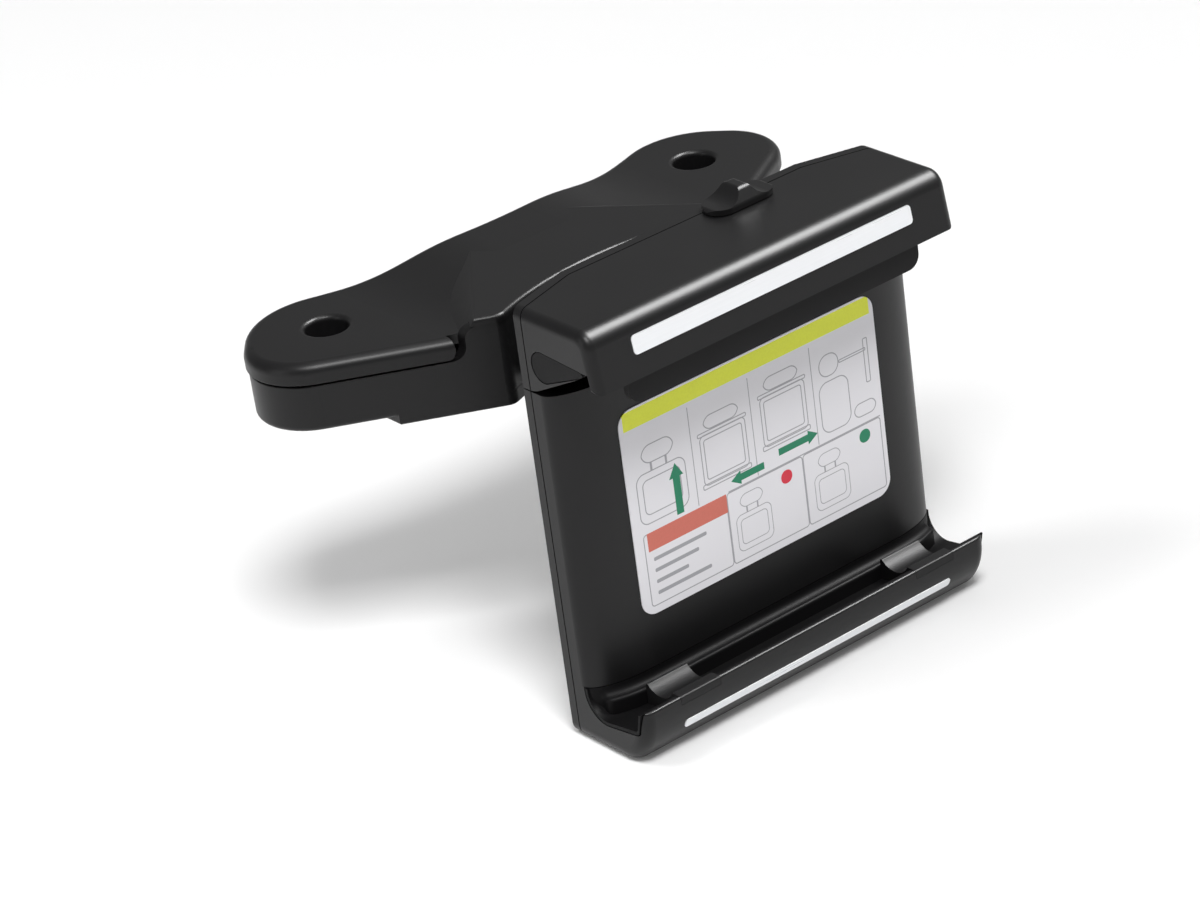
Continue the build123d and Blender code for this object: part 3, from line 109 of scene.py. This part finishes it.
# Line drawings: outlines in shares of the sticker, corners in metres, and left, top and size of each view
SEAT = (
    ((0.030, 0.000, 0.155, 0.090), 0.0035),
    ((0.000, 0.125, 0.190, 0.370), 0.0030),
    ((0.022, 0.160, 0.168, 0.330), 0.0020),
    ((0.060, 0.085, 0.068, 0.130), 0.0003),
    ((0.117, 0.085, 0.125, 0.130), 0.0003),
)
SEAT_VIEWS = ((0.035, 0.20, 1.0), (0.385, 0.65, 0.74), (0.70, 0.65, 0.74))
TABLET = (
    ((0.020, 0.000, 0.160, 0.070), 0.0030),
    ((0.000, 0.085, 0.180, 0.330), 0.0018),
    ((0.014, 0.108, 0.166, 0.305), 0.0010),
    ((-0.006, 0.070, 0.186, 0.092), 0.0006),
    ((-0.006, 0.318, 0.186, 0.345), 0.0006),
)
TABLET_VIEWS = ((0.285, 0.20, 1.0), (0.525, 0.16, 1.0))
SIDE_SEAT = (
    ((0.765, 0.19, 0.845, 0.30), 0.0034),
    ((0.755, 0.32, 0.875, 0.57), 0.0034),
    ((0.845, 0.245, 0.955, 0.262), 0.0004),
    ((0.945, 0.20, 0.965, 0.42), 0.0006),
    ((0.885, 0.50, 0.975, 0.57), 0.0024),
)
SIDE_SEAT_VIEWS = ((0.0, 0.0, 1.0),)

# Grey bars under the plain field: right end of each, and the place of their rows
BAR_ENDS = (0.27, 0.235, 0.19, 0.275)
BAR_LEFT = 0.065
BAR_TOP = 0.735
BAR_PITCH = 0.055
BAR_HEIGHT = 0.018
BAR_CORNER = 0.0004

# Lighter tone of the floor's mottle, and the point that every lamp looks at
FLOOR_LIGHT = 1.01
LAMP_TARGET = (0, -0.06, 0)


# Sizes and colours that a user would change


def colour_property(name, description, default):
    """Colour in linear values."""
    return FloatVectorProperty(
        name=name, description=description, subtype="COLOR", min=0, max=1, default=default
    )


def share_property(name, description, default):
    """Number from 0 to 1."""
    return FloatProperty(name=name, description=description, subtype="FACTOR", min=0, max=1, default=default)


def length_property(name, description, default):
    """Length in metres."""
    return FloatProperty(name=name, description=description, unit="LENGTH", default=default)


def power_property(name, description, default):
    """Power of a lamp in watts."""
    return FloatProperty(name=name, description=description, subtype="POWER", default=default)


def direction_property(name, description, default):
    """Direction in the frame."""
    return FloatVectorProperty(name=name, description=description, subtype="DIRECTION", default=default)


class MountFinish(bpy.types.PropertyGroup):
    """Colours and gloss of the mount's pieces."""

    shell: colour_property("Shell plastic", "Colour of the satin shells", (0.0056, 0.0054, 0.0058))
    shell_roughness: share_property("Shell roughness", "Gloss of the shells", 0.38)
    insert: colour_property("Insert plastic", "Colour of the trough insert", (0.0050, 0.0048, 0.0052))
    insert_roughness: share_property("Insert roughness", "Gloss of the trough insert", 0.5)
    rubber: colour_property("Rubber", "Colour of the soft pads", (0.0050, 0.0048, 0.0052))
    rubber_roughness: share_property("Rubber roughness", "Gloss of the soft pads", 0.62)
    grip_roughness: share_property("Grip roughness", "Gloss of the lower jaw's grip pads", 0.46)
    rail: colour_property("Rail plastic", "Colour of the rails and the lock bar", (0.030, 0.030, 0.032))
    washer: colour_property("Washer plastic", "Colour of the friction washers", (0.62, 0.60, 0.55))
    silver: colour_property("Silver", "Colour of the accent strips", (0.87, 0.88, 0.90))
    black_steel: colour_property("Black steel", "Colour of screws, bolt and nut", (0.085, 0.085, 0.092))
    spring_steel: colour_property("Spring steel", "Colour of the return springs", (0.55, 0.56, 0.58))


class MountPrint(bpy.types.PropertyGroup):
    """Colours and line width of the sticker's print."""

    film: colour_property("Film", "Colour of the sticker's white film", (0.74, 0.73, 0.76))
    band: colour_property("Band", "Colour of the band along the top", (0.78, 0.84, 0.05))
    field: colour_property("Field", "Colour of the plain field", (0.58, 0.15, 0.11))
    arrow: colour_property("Arrows", "Colour of the arrows and of one disc", (0.008, 0.20, 0.10))
    mark: colour_property("Mark", "Colour of the other disc", (0.62, 0.025, 0.05))
    line: colour_property("Lines", "Colour of the thin line drawings", (0.33, 0.33, 0.35))
    line_width: length_property("Line width", "Width of the thin lines", 0.00034)


class MountScrew(bpy.types.PropertyGroup):
    """Sizes of the screws' driven heads."""

    head_height: length_property("Head height", "Height of the head", 0.0024)
    shank: length_property("Shank radius", "Radius of the shank", 0.0015)
    cross: length_property("Cross", "Reach of the cross recess from its middle", 0.0018)
    cross_depth: length_property("Cross depth", "Depth of the cross recess", 0.0011)
    edge: length_property("Edge", "Rounding of the head's edge", 0.0006)


class MountStudio(bpy.types.PropertyGroup):
    """Camera, floor and lights."""

    eye: FloatVectorProperty(
        name="Eye", description="Camera position", subtype="TRANSLATION", unit="LENGTH",
        default=(-0.6703, -0.9494, 0.52795),
    )
    camera_right: direction_property("Right", "Camera's right hand side", (0.7644, -0.6330, -0.1228))
    camera_up: direction_property("Up", "Camera's upward side", (0.3751, 0.2816, 0.8832))
    lens: FloatProperty(name="Lens", description="Focal length", subtype="DISTANCE_CAMERA", default=128.98)
    sensor: FloatProperty(name="Sensor", description="Sensor width", subtype="DISTANCE_CAMERA", default=36.0)
    floor_size: length_property("Floor", "Width of the floor", 40.0)
    floor_tone: share_property("Floor tone", "Grey of the floor, 1 is white", 0.88)
    sky: share_property("Sky", "Level of the surroundings", 0.28)
    floor_glow: share_property("Floor glow", "Part of the floor's white that no shadow darkens", 0.055)
    key_power: power_property("Key", "Power of the large soft box", 124.0)
    ridge_power: power_property("Ridge", "Power of the soft box that lights the ridges", 64.0)
    back_power: power_property("Back", "Power of the soft box behind", 15.0)
    side_power: power_property("Side", "Power of the side soft box", 3.0)


# Node helpers


def new_material(name):
    """Node material and its Principled shader."""
    material = bpy.data.materials.new(name)
    material.use_nodes = True
    return material, material.node_tree, material.node_tree.nodes["Principled BSDF"]


def join(tree, value, slot):
    """Link a socket to an input, or set a plain value on it."""
    if isinstance(value, bpy.types.NodeSocket):
        tree.links.new(value, slot)
    else:
        slot.default_value = value


def calculate(tree, operation, *values):
    """Math node on sockets or plain numbers."""
    node = tree.nodes.new("ShaderNodeMath")
    node.operation = operation
    for value, slot in zip(values, node.inputs):
        join(tree, value, slot)
    return node.outputs["Value"]


def steer(tree, operation, *values):
    """Vector node on sockets or plain vectors."""
    node = tree.nodes.new("ShaderNodeVectorMath")
    node.operation = operation
    for value, slot in zip(values, node.inputs):
        join(tree, value, slot)
    return node.outputs["Value" if operation in {"LENGTH", "DOT_PRODUCT"} else "Vector"]


def object_place(tree):
    """Position in the object's own coordinates."""
    return tree.nodes.new("ShaderNodeTexCoord").outputs["Object"]


def noise(tree, place, scale, detail):
    """Noise over the piece, 0 to 1."""
    node = tree.nodes.new("ShaderNodeTexNoise")
    node.inputs["Scale"].default_value = scale
    node.inputs["Detail"].default_value = detail
    tree.links.new(place, node.inputs["Vector"])
    return node.outputs["Fac"]


def spread(tree, value, low, high):
    """Map 0 to 1 onto a range."""
    node = tree.nodes.new("ShaderNodeMapRange")
    node.inputs["To Min"].default_value = low
    node.inputs["To Max"].default_value = high
    tree.links.new(value, node.inputs["Value"])
    return node.outputs["Result"]


def blend(tree, share, first, second):
    """Mix two colours."""
    node = tree.nodes.new("ShaderNodeMix")
    node.data_type = "RGBA"
    join(tree, share, node.inputs["Factor"])
    for value, slot in ((first, "A"), (second, "B")):
        if isinstance(value, bpy.types.NodeSocket):
            tree.links.new(value, node.inputs[slot])
        else:
            node.inputs[slot].default_value = (*value, 1)
    return node.outputs["Result"]


def tinted(colour, factor):
    """Colour made darker or lighter."""
    return [min(1, factor * channel) for channel in colour]


def roughen(tree, shader, height, strength, depth):
    """Fine relief of a surface."""
    bump = tree.nodes.new("ShaderNodeBump")
    bump.inputs["Strength"].default_value = strength
    bump.inputs["Distance"].default_value = depth
    tree.links.new(height, bump.inputs["Height"])
    tree.links.new(bump.outputs["Normal"], shader.inputs["Normal"])


def moulded_plastic(name, colour, roughness, specular, grain_scale, grain_depth):
    """Moulded plastic: fine grain from the tool, slow changes of gloss and tone over the surface."""
    material, tree, shader = new_material(name)
    shader.inputs["Specular IOR Level"].default_value = specular
    place = object_place(tree)
    cloud = noise(tree, place, scale=34.0, detail=4.0)
    gloss = spread(tree, cloud, roughness - GLOSS_SWING, roughness + GLOSS_SWING)
    tone = blend(tree, cloud, tinted(colour, 1 - TONE_SWING), tinted(colour, 1 + TONE_SWING))
    tree.links.new(gloss, shader.inputs["Roughness"])
    tree.links.new(tone, shader.inputs["Base Color"])
    grain = noise(tree, place, scale=grain_scale, detail=3.0)
    roughen(tree, shader, grain, strength=0.3, depth=grain_depth)
    return material


def brushed_metal(name, colour, roughness, metallic, stretch):
    """Metal with fine lines: stretch gives how close the lines stand along each axis."""
    material, tree, shader = new_material(name)
    shader.inputs["Metallic"].default_value = metallic
    place = object_place(tree)
    lines = noise(tree, steer(tree, "MULTIPLY", place, stretch), scale=1.0, detail=3.0)
    gloss = spread(tree, lines, roughness - BRUSH_GLOSS_SWING, roughness + BRUSH_GLOSS_SWING)
    tone = blend(tree, lines, tinted(colour, BRUSH_DARK), tinted(colour, BRUSH_LIGHT))
    tree.links.new(gloss, shader.inputs["Roughness"])
    tree.links.new(tone, shader.inputs["Base Color"])
    roughen(tree, shader, lines, strength=0.15, depth=0.00002)
    return material


def dress(material, *nodes):
    """Give CAD nodes a material."""
    for node in nodes:
        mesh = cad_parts[node].data
        mesh.materials.clear()
        mesh.materials.append(material)


# Moulded pieces


class MOUNT_OT_shells(bpy.types.Operator):
    """Dress the satin shells of the arm, the plate and the upper jaw, and the lock slider"""

    bl_idname = "mount.shells"
    bl_label = "Shells"

    def execute(self, context):
        finish = context.scene.mount_finish
        plastic = moulded_plastic(
            "satin_black_plastic", finish.shell, finish.shell_roughness,
            specular=0.28, grain_scale=2600, grain_depth=0.00004,
        )
        dress(plastic, "arm_top_cover", "arm_lower_body", "plate_front_shell", "plate_rear_cover")
        dress(plastic, "upper_jaw_shell", "upper_jaw_rear_cover", "lock_slider")
        return {"FINISHED"}


class MOUNT_OT_inserts(bpy.types.Operator):
    """Dress the trough insert of the lower jaw"""

    bl_idname = "mount.inserts"
    bl_label = "Trough insert"

    def execute(self, context):
        finish = context.scene.mount_finish
        plastic = moulded_plastic(
            "smooth_black_plastic", finish.insert, finish.insert_roughness,
            specular=0.09, grain_scale=3200, grain_depth=0.00001,
        )
        dress(plastic, "lower_jaw_insert")
        return {"FINISHED"}


class MOUNT_OT_pads(bpy.types.Operator):
    """Dress the soft pads of both jaws and the soft filling at the upper jaw's ends"""

    bl_idname = "mount.pads"
    bl_label = "Soft pads"

    def execute(self, context):
        finish = context.scene.mount_finish
        rubber = moulded_plastic(
            "soft_black_rubber", finish.rubber, finish.rubber_roughness,
            specular=0.20, grain_scale=4200, grain_depth=0.00005,
        )
        dress(rubber, "upper_jaw_pad", "upper_jaw_insert")
        grip = moulded_plastic(
            "firm_black_rubber", finish.shell, finish.grip_roughness,
            specular=0.25, grain_scale=3600, grain_depth=0.00005,
        )
        dress(grip, "lower_grip_pad_left", "lower_grip_pad_right")
        return {"FINISHED"}


class MOUNT_OT_strips(bpy.types.Operator):
    """Dress the silver strips let into both jaws"""

    bl_idname = "mount.strips"
    bl_label = "Accent strips"

    def execute(self, context):
        finish = context.scene.mount_finish
        silver = brushed_metal(
            "silver_strip", finish.silver, roughness=0.3, metallic=0.35, stretch=(30, 1400, 1400)
        )
        dress(silver, "lower_accent_strip", "upper_accent_strip")
        return {"FINISHED"}


class MOUNT_OT_mechanism(bpy.types.Operator):
    """Dress the rails, springs, lock bar and hinge"""

    bl_idname = "mount.mechanism"
    bl_label = "Mechanism"

    def execute(self, context):
        finish = context.scene.mount_finish
        rail = moulded_plastic(
            "grey_rail_plastic", finish.rail, roughness=0.38,
            specular=0.3, grain_scale=2200, grain_depth=0.00002,
        )
        dress(rail, "slide_rail_left", "slide_rail_right", "lock_bar")
        washer = moulded_plastic(
            "natural_washer_plastic", finish.washer, roughness=0.4,
            specular=0.4, grain_scale=1800, grain_depth=0.00002,
        )
        dress(washer, "friction_washer_left", "friction_washer_right")
        wire = brushed_metal(
            "bright_spring_wire", finish.spring_steel, roughness=0.28, metallic=1.0, stretch=(2400, 2400, 600)
        )
        dress(wire, "return_spring_left", "return_spring_right")
        dress(blackened_steel(finish), "hinge_bolt", "hinge_nut")
        return {"FINISHED"}


def blackened_steel(finish):
    """Black oxide finish of the screws, the bolt and the nut."""
    return brushed_metal(
        "blackened_steel", finish.black_steel, roughness=0.36, metallic=1.0, stretch=(1500, 1500, 1500)
    )


# Screws


def islands(mesh):
    """Lowest and highest corner of each separate body of a mesh."""
    shape = bmesh.new()
    shape.from_mesh(mesh)
    bmesh.ops.remove_doubles(shape, verts=shape.verts, dist=NEAR)
    left = set(shape.verts)
    boxes = []
    while left:
        front = [left.pop()]
        corners = []
        while front:
            vert = front.pop()
            corners.append(vert.co.copy())
            for edge in vert.link_edges:
                near = edge.other_vert(vert)
                if near in left:
                    left.remove(near)
                    front.append(near)
        boxes.append(
            [Vector(pick(corner[axis] for corner in corners) for axis in range(3)) for pick in (min, max)]
        )
    shape.free()
    return boxes


def cut_screw(shape, sizes, radius, length, place):
    """Screw along Z with its head's top in the origin, cross recess and all, then moved into place."""
    before = set(shape.verts)
    ring = bmesh.ops.create_circle(shape, segments=SCREW_SIDES, radius=radius)["verts"]
    rim = list({edge for vert in ring for edge in vert.link_edges})
    grid = bmesh.ops.create_grid(shape, x_segments=3, y_segments=3, size=sizes.cross)["verts"]
    quads = {face for vert in grid for face in vert.link_faces}
    corners = [
        face for face in quads if min(abs(c) for c in face.calc_center_median().xy) > sizes.cross / 3
    ]
    bmesh.ops.delete(shape, geom=corners, context="FACES")
    cross = list({face for vert in grid if vert.is_valid for face in vert.link_faces})
    hem = [edge for face in cross for edge in face.edges if len(edge.link_faces) == 1]
    bmesh.ops.triangle_fill(shape, use_beauty=True, edges=rim + hem)
    sunk = bmesh.ops.extrude_face_region(shape, geom=cross)["geom"]
    floor = [item for item in sunk if isinstance(item, bmesh.types.BMVert)]
    bmesh.ops.translate(shape, verts=floor, vec=(0, 0, -sizes.cross_depth))
    bmesh.ops.scale(shape, verts=floor, vec=(CROSS_TAPER, CROSS_TAPER, 1))
    steps = (
        (sizes.head_height, radius),
        (0, sizes.shank),
        (length - sizes.head_height, sizes.shank),
    )
    for drop, reach in steps:
        skirt = bmesh.ops.extrude_edge_only(shape, edges=rim)["geom"]
        low = [item for item in skirt if isinstance(item, bmesh.types.BMVert)]
        rim = [item for item in skirt if isinstance(item, bmesh.types.BMEdge)]
        for vert in low:
            vert.co.xy = vert.co.xy.normalized() * reach
        bmesh.ops.translate(shape, verts=low, vec=(0, 0, -drop))
    bmesh.ops.edgeloop_fill(shape, edges=rim)
    brow = {
        edge for vert in ring for edge in vert.link_edges
        if all(abs(end.co.z) < NEAR and end.co.xy.length > radius - NEAR for end in edge.verts)
    }
    bmesh.ops.bevel(
        shape, geom=list(brow), affect="EDGES",
        offset=sizes.edge, segments=EDGE_STEPS, profile=0.5, material=-1,
    )
    made = [vert for vert in shape.verts if vert not in before]
    bmesh.ops.transform(shape, matrix=place, verts=made)


class MOUNT_OT_screws(bpy.types.Operator):
    """Make the screws that close the shells, with driven heads"""

    bl_idname = "mount.screws"
    bl_label = "Screws"

    def execute(self, context):
        steel = blackened_steel(context.scene.mount_finish)
        add_screws("arm_screws", "arm", (0, 0, -1), steel)
        add_screws("plate_screws", "holder", (0, 1, 0), steel)
        add_screws("jaw_screws", "jaw", (0, 1, 0), steel)
        return {"FINISHED"}


def add_screws(node, body, facing, steel):
    """Stand new screws in the places of a CAD node's screws, their heads facing one way."""
    sizes = bpy.context.scene.mount_screw
    facing = Vector(facing)
    turn = Vector((0, 0, 1)).rotation_difference(facing).to_matrix().to_4x4()
    shape = bmesh.new()
    for low, high in islands(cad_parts[node].data):
        half = (high - low) / 2
        length = 2 * abs(half.dot(facing))
        radius = min(half[axis] for axis in range(3) if facing[axis] == 0)
        top = (low + high) / 2 + facing * length / 2
        cut_screw(shape, sizes, radius, length, Matrix.Translation(top) @ turn)
    bmesh.ops.recalc_face_normals(shape, faces=shape.faces)
    mesh = bpy.data.meshes.new(node + "_driven")
    shape.to_mesh(mesh)
    shape.free()
    mesh.materials.append(steel)
    piece = bpy.data.objects.new(node + "_driven", mesh)
    bpy.context.collection.objects.link(piece)
    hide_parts(node)
    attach(piece, body)


# Sticker


def spot(u, v):
    """Point of the sticker from shares of its width, from the left, and of its height, from the top."""
    low, high = STICKER
    return low[0] + u * (high[0] - low[0]), high[2] - v * (high[2] - low[2])


def reach_from_box(tree, place, centre, half, corner):
    """Distance from a box that lies inside a rounded rectangle by its corner's radius."""
    offset = steer(tree, "SUBTRACT", place, (centre[0], 0, centre[1]))
    inner = (half[0] - corner, ANY_DEPTH, half[1] - corner)
    beyond = steer(tree, "SUBTRACT", steer(tree, "ABSOLUTE", offset), inner)
    return steer(tree, "LENGTH", steer(tree, "MAXIMUM", beyond, (0, 0, 0)))


def share_box(left, top, right, bottom):
    """Centre and half size, in metres, of a box given in shares of the sticker."""
    x0, z0 = spot(left, top)
    x1, z1 = spot(right, bottom)
    return ((x0 + x1) / 2, (z0 + z1) / 2), ((x1 - x0) / 2, (z0 - z1) / 2)


def filled(tree, place, box, corner):
    """Printed field with rounded corners."""
    return calculate(tree, "LESS_THAN", reach_from_box(tree, place, *share_box(*box), corner), corner)


def outlined(tree, place, box, corner, width):
    """Printed outline with rounded corners."""
    reach = reach_from_box(tree, place, *share_box(*box), corner)
    return calculate(tree, "COMPARE", reach, corner - width / 2, width / 2)


def arrow(tree, place, tip, direction, length, width):
    """Printed arrow: its head is twice as wide as its shaft."""
    x, z = spot(*tip)
    offset = steer(tree, "SUBTRACT", place, (x, 0, z))
    along = steer(tree, "DOT_PRODUCT", offset, (-direction[0], 0, -direction[1]))
    sideways = steer(tree, "DOT_PRODUCT", offset, (direction[1], 0, -direction[0]))
    across = calculate(tree, "ABSOLUTE", sideways)
    head = ARROW_HEAD * width
    slope = calculate(tree, "SUBTRACT", across, calculate(tree, "MULTIPLY", along, width / head))
    inside = calculate(tree, "LESS_THAN", slope, 0.0)
    point = calculate(tree, "MULTIPLY", inside, calculate(tree, "LESS_THAN", along, head))
    stretch = calculate(tree, "COMPARE", along, (head + length) / 2, (length - head) / 2)
    shaft = calculate(tree, "MULTIPLY", stretch, calculate(tree, "LESS_THAN", across, width / 2))
    return calculate(tree, "MAXIMUM", point, shaft)


def together(tree, masks):
    """One mask that covers all of the given ones."""
    whole = masks[0]
    for mask in masks[1:]:
        whole = calculate(tree, "MAXIMUM", whole, mask)
    return whole


def drawing(tree, place, outlines, views, width):
    """Outlines of one drawing at the left, top and size of each of its views."""
    masks = []
    for left, top, size in views:
        for (x0, y0, x1, y1), corner in outlines:
            box = (left + size * x0, top + size * y0, left + size * x1, top + size * y1)
            masks.append(outlined(tree, place, box, size * corner, size * width))
    return masks


def line_drawings(tree, place, width):
    """Thin lines of the print: panel borders and plain outlines of seats and tablets."""
    masks = []
    for u in PANEL_LINES:
        line = (u - PANEL_LINE_HALF, PANEL_TOP, u + PANEL_LINE_HALF, PANEL_BOTTOM)
        masks.append(filled(tree, place, line, PANEL_LINE_CORNER))
    masks.append(filled(tree, place, PANEL_BASE_LINE, PANEL_LINE_CORNER))
    for box in FRAMES:
        masks.append(outlined(tree, place, box, FRAME_CORNER, width))
    masks += drawing(tree, place, SEAT, SEAT_VIEWS, width)
    masks += drawing(tree, place, TABLET, TABLET_VIEWS, width)
    masks += drawing(tree, place, SIDE_SEAT, SIDE_SEAT_VIEWS, width)
    return together(tree, masks)


def print_bars(tree, place):
    """Short grey bars under the plain field."""
    masks = []
    for row, right in enumerate(BAR_ENDS):
        top = BAR_TOP + BAR_PITCH * row
        masks.append(filled(tree, place, (BAR_LEFT, top, right, top + BAR_HEIGHT), BAR_CORNER))
    return together(tree, masks)


class MOUNT_OT_sticker(bpy.types.Operator):
    """Dress the sticker: white film with coloured fields, arrows and thin line drawings"""

    bl_idname = "mount.sticker"
    bl_label = "Sticker"

    def execute(self, context):
        inks = context.scene.mount_print
        material, tree, shader = new_material("printed_film")
        shader.inputs["Specular IOR Level"].default_value = 0.35
        place = object_place(tree)
        cloud = noise(tree, place, scale=26.0, detail=2.0)
        fibre = noise(tree, place, scale=1500.0, detail=2.0)
        colour = blend(tree, cloud, tinted(inks.film, FILM_SHADE), inks.film)
        colour = blend(tree, line_drawings(tree, place, inks.line_width), colour, inks.line)
        colour = blend(tree, print_bars(tree, place), colour, inks.line)
        pointers = [arrow(tree, place, *shape) for shape in ARROWS]
        pointers.append(filled(tree, place, GREEN_DISC, DISC_CORNER))
        for mask, ink in (
            (filled(tree, place, BAND, FIELD_CORNER), inks.band),
            (filled(tree, place, FIELD, FIELD_CORNER), inks.field),
            (together(tree, pointers), inks.arrow),
            (filled(tree, place, RED_DISC, DISC_CORNER), inks.mark),
        ):
            printed = blend(tree, fibre, tinted(ink, 1 - INK_SWING), tinted(ink, 1 + INK_SWING))
            colour = blend(tree, mask, colour, printed)
        tree.links.new(colour, shader.inputs["Base Color"])
        tree.links.new(spread(tree, cloud, low=0.32, high=0.40), shader.inputs["Roughness"])
        roughen(tree, shader, fibre, strength=0.1, depth=0.00001)
        dress(material, "instruction_sticker")
        return {"FINISHED"}


# Studio


class MOUNT_OT_studio(bpy.types.Operator):
    """Set up the floor, the lights, the surroundings and the camera"""

    bl_idname = "mount.studio"
    bl_label = "Studio"

    def execute(self, context):
        studio = context.scene.mount_studio
        context.scene.view_settings.view_transform = "Standard"
        lay_floor(studio)
        hang_lights(studio)
        paint_world(context.scene, studio)
        place_camera(context.scene, studio)
        return {"FINISHED"}


def lay_floor(studio):
    """White floor that the holder stands on."""
    mesh = bpy.data.meshes.new("floor")
    shape = bmesh.new()
    bmesh.ops.create_grid(shape, x_segments=1, y_segments=1, size=studio.floor_size / 2)
    bmesh.ops.translate(shape, verts=shape.verts, vec=(0, 0, BASE))
    shape.to_mesh(mesh)
    shape.free()
    floor = bpy.data.objects.new("floor", mesh)
    bpy.context.collection.objects.link(floor)
    mesh.materials.append(white_paper(studio))


def white_paper(studio):
    """Floor's finish: takes shadows, with a little glow that the camera sees straight or in a reflection."""
    material, tree, shader = new_material("white_floor")
    shader.inputs["Roughness"].default_value = 0.9
    shader.inputs["Specular IOR Level"].default_value = 0.0
    shader.inputs["Emission Color"].default_value = (1, 1, 1, 1)
    mottle = noise(tree, object_place(tree), scale=3.0, detail=2.0)
    tone = [studio.floor_tone] * 3
    tree.links.new(blend(tree, mottle, tone, tinted(tone, FLOOR_LIGHT)), shader.inputs["Base Color"])
    paths = tree.nodes.new("ShaderNodeLightPath").outputs
    seen = calculate(tree, "ADD", paths["Is Camera Ray"], paths["Is Glossy Ray"])
    seen = calculate(tree, "ADD", seen, paths["Is Transmission Ray"])
    glow = calculate(tree, "MULTIPLY", seen, studio.floor_glow)
    tree.links.new(glow, shader.inputs["Emission Strength"])
    return material


def add_area(name, place, span, power):
    """Soft box of the given span that looks at the mount."""
    lamp = bpy.data.lights.new(name, "AREA")
    lamp.shape = "RECTANGLE"
    lamp.size, lamp.size_y = span
    lamp.energy = power
    box = bpy.data.objects.new(name, lamp)
    box.location = place
    box.rotation_euler = (Vector(LAMP_TARGET) - Vector(place)).to_track_quat("-Z", "Y").to_euler()
    bpy.context.collection.objects.link(box)
    return box


def hang_lights(studio):
    """Soft boxes above the camera and behind, one on the right for the ridges and a weak one at the side."""
    add_area("key_box", place=(-0.90, -1.73, 3.4), span=(1.2, 1.2), power=studio.key_power)
    ridge = add_area("ridge_box", place=(0.78, -0.34, 1.2), span=(0.75, 0.7), power=studio.ridge_power)
    ridge.visible_diffuse = False
    behind = add_area("back_box", place=(-1.05, 0.5, 2.1), span=(0.7, 0.7), power=studio.back_power)
    behind.visible_glossy = False
    add_area("side_box", place=(-1.5, 0.1, 0.5), span=(0.5, 1.0), power=studio.side_power)


def paint_world(scene, studio):
    """Even pale surroundings."""
    world = bpy.data.worlds.new("pale_studio")
    world.use_nodes = True
    backdrop = world.node_tree.nodes["Background"]
    backdrop.inputs["Color"].default_value = (1, 1, 1, 1)
    backdrop.inputs["Strength"].default_value = studio.sky
    scene.world = world


def place_camera(scene, studio):
    """Camera at the photograph's viewing angle."""
    lens = bpy.data.cameras.new("camera")
    lens.lens = studio.lens
    lens.sensor_width = studio.sensor
    lens.sensor_fit = "HORIZONTAL"
    lens.clip_end = 100
    right = Vector(studio.camera_right).normalized()
    up = (Vector(studio.camera_up) - right * right.dot(Vector(studio.camera_up))).normalized()
    turn = Matrix((right, up, right.cross(up))).transposed()
    camera = bpy.data.objects.new("camera", lens)
    camera.matrix_world = Matrix.Translation(studio.eye) @ turn.to_4x4()
    bpy.context.collection.objects.link(camera)
    scene.camera = camera


class MOUNT_PT_panel(bpy.types.Panel):
    """Lists the steps that dress the mount"""

    bl_label = "Tablet Mount"
    bl_idname = "MOUNT_PT_panel"
    bl_space_type = "VIEW_3D"
    bl_region_type = "UI"
    bl_category = "Tablet Mount"

    def draw(self, context):
        for operator in STEPS:
            self.layout.operator(operator.bl_idname)


GROUPS = {
    "mount_finish": MountFinish,
    "mount_print": MountPrint,
    "mount_screw": MountScrew,
    "mount_studio": MountStudio,
}
STEPS = (
    MOUNT_OT_shells,
    MOUNT_OT_inserts,
    MOUNT_OT_pads,
    MOUNT_OT_strips,
    MOUNT_OT_mechanism,
    MOUNT_OT_screws,
    MOUNT_OT_sticker,
    MOUNT_OT_studio,
)
CLASSES = (*GROUPS.values(), *STEPS, MOUNT_PT_panel)


def register():
    """Add the classes and the settings to the program."""
    for item in CLASSES:
        bpy.utils.register_class(item)
    for name, group in GROUPS.items():
        setattr(bpy.types.Scene, name, PointerProperty(type=group))


def unregister():
    """Take the settings and the classes out again."""
    for name in GROUPS:
        delattr(bpy.types.Scene, name)
    for item in reversed(CLASSES):
        bpy.utils.unregister_class(item)


def main():
    """Dress the mount and build the studio."""
    register()
    bpy.ops.mount.shells()
    bpy.ops.mount.inserts()
    bpy.ops.mount.pads()
    bpy.ops.mount.strips()
    bpy.ops.mount.mechanism()
    bpy.ops.mount.screws()
    bpy.ops.mount.sticker()
    bpy.ops.mount.studio()


if __name__ == "__main__":
    main()
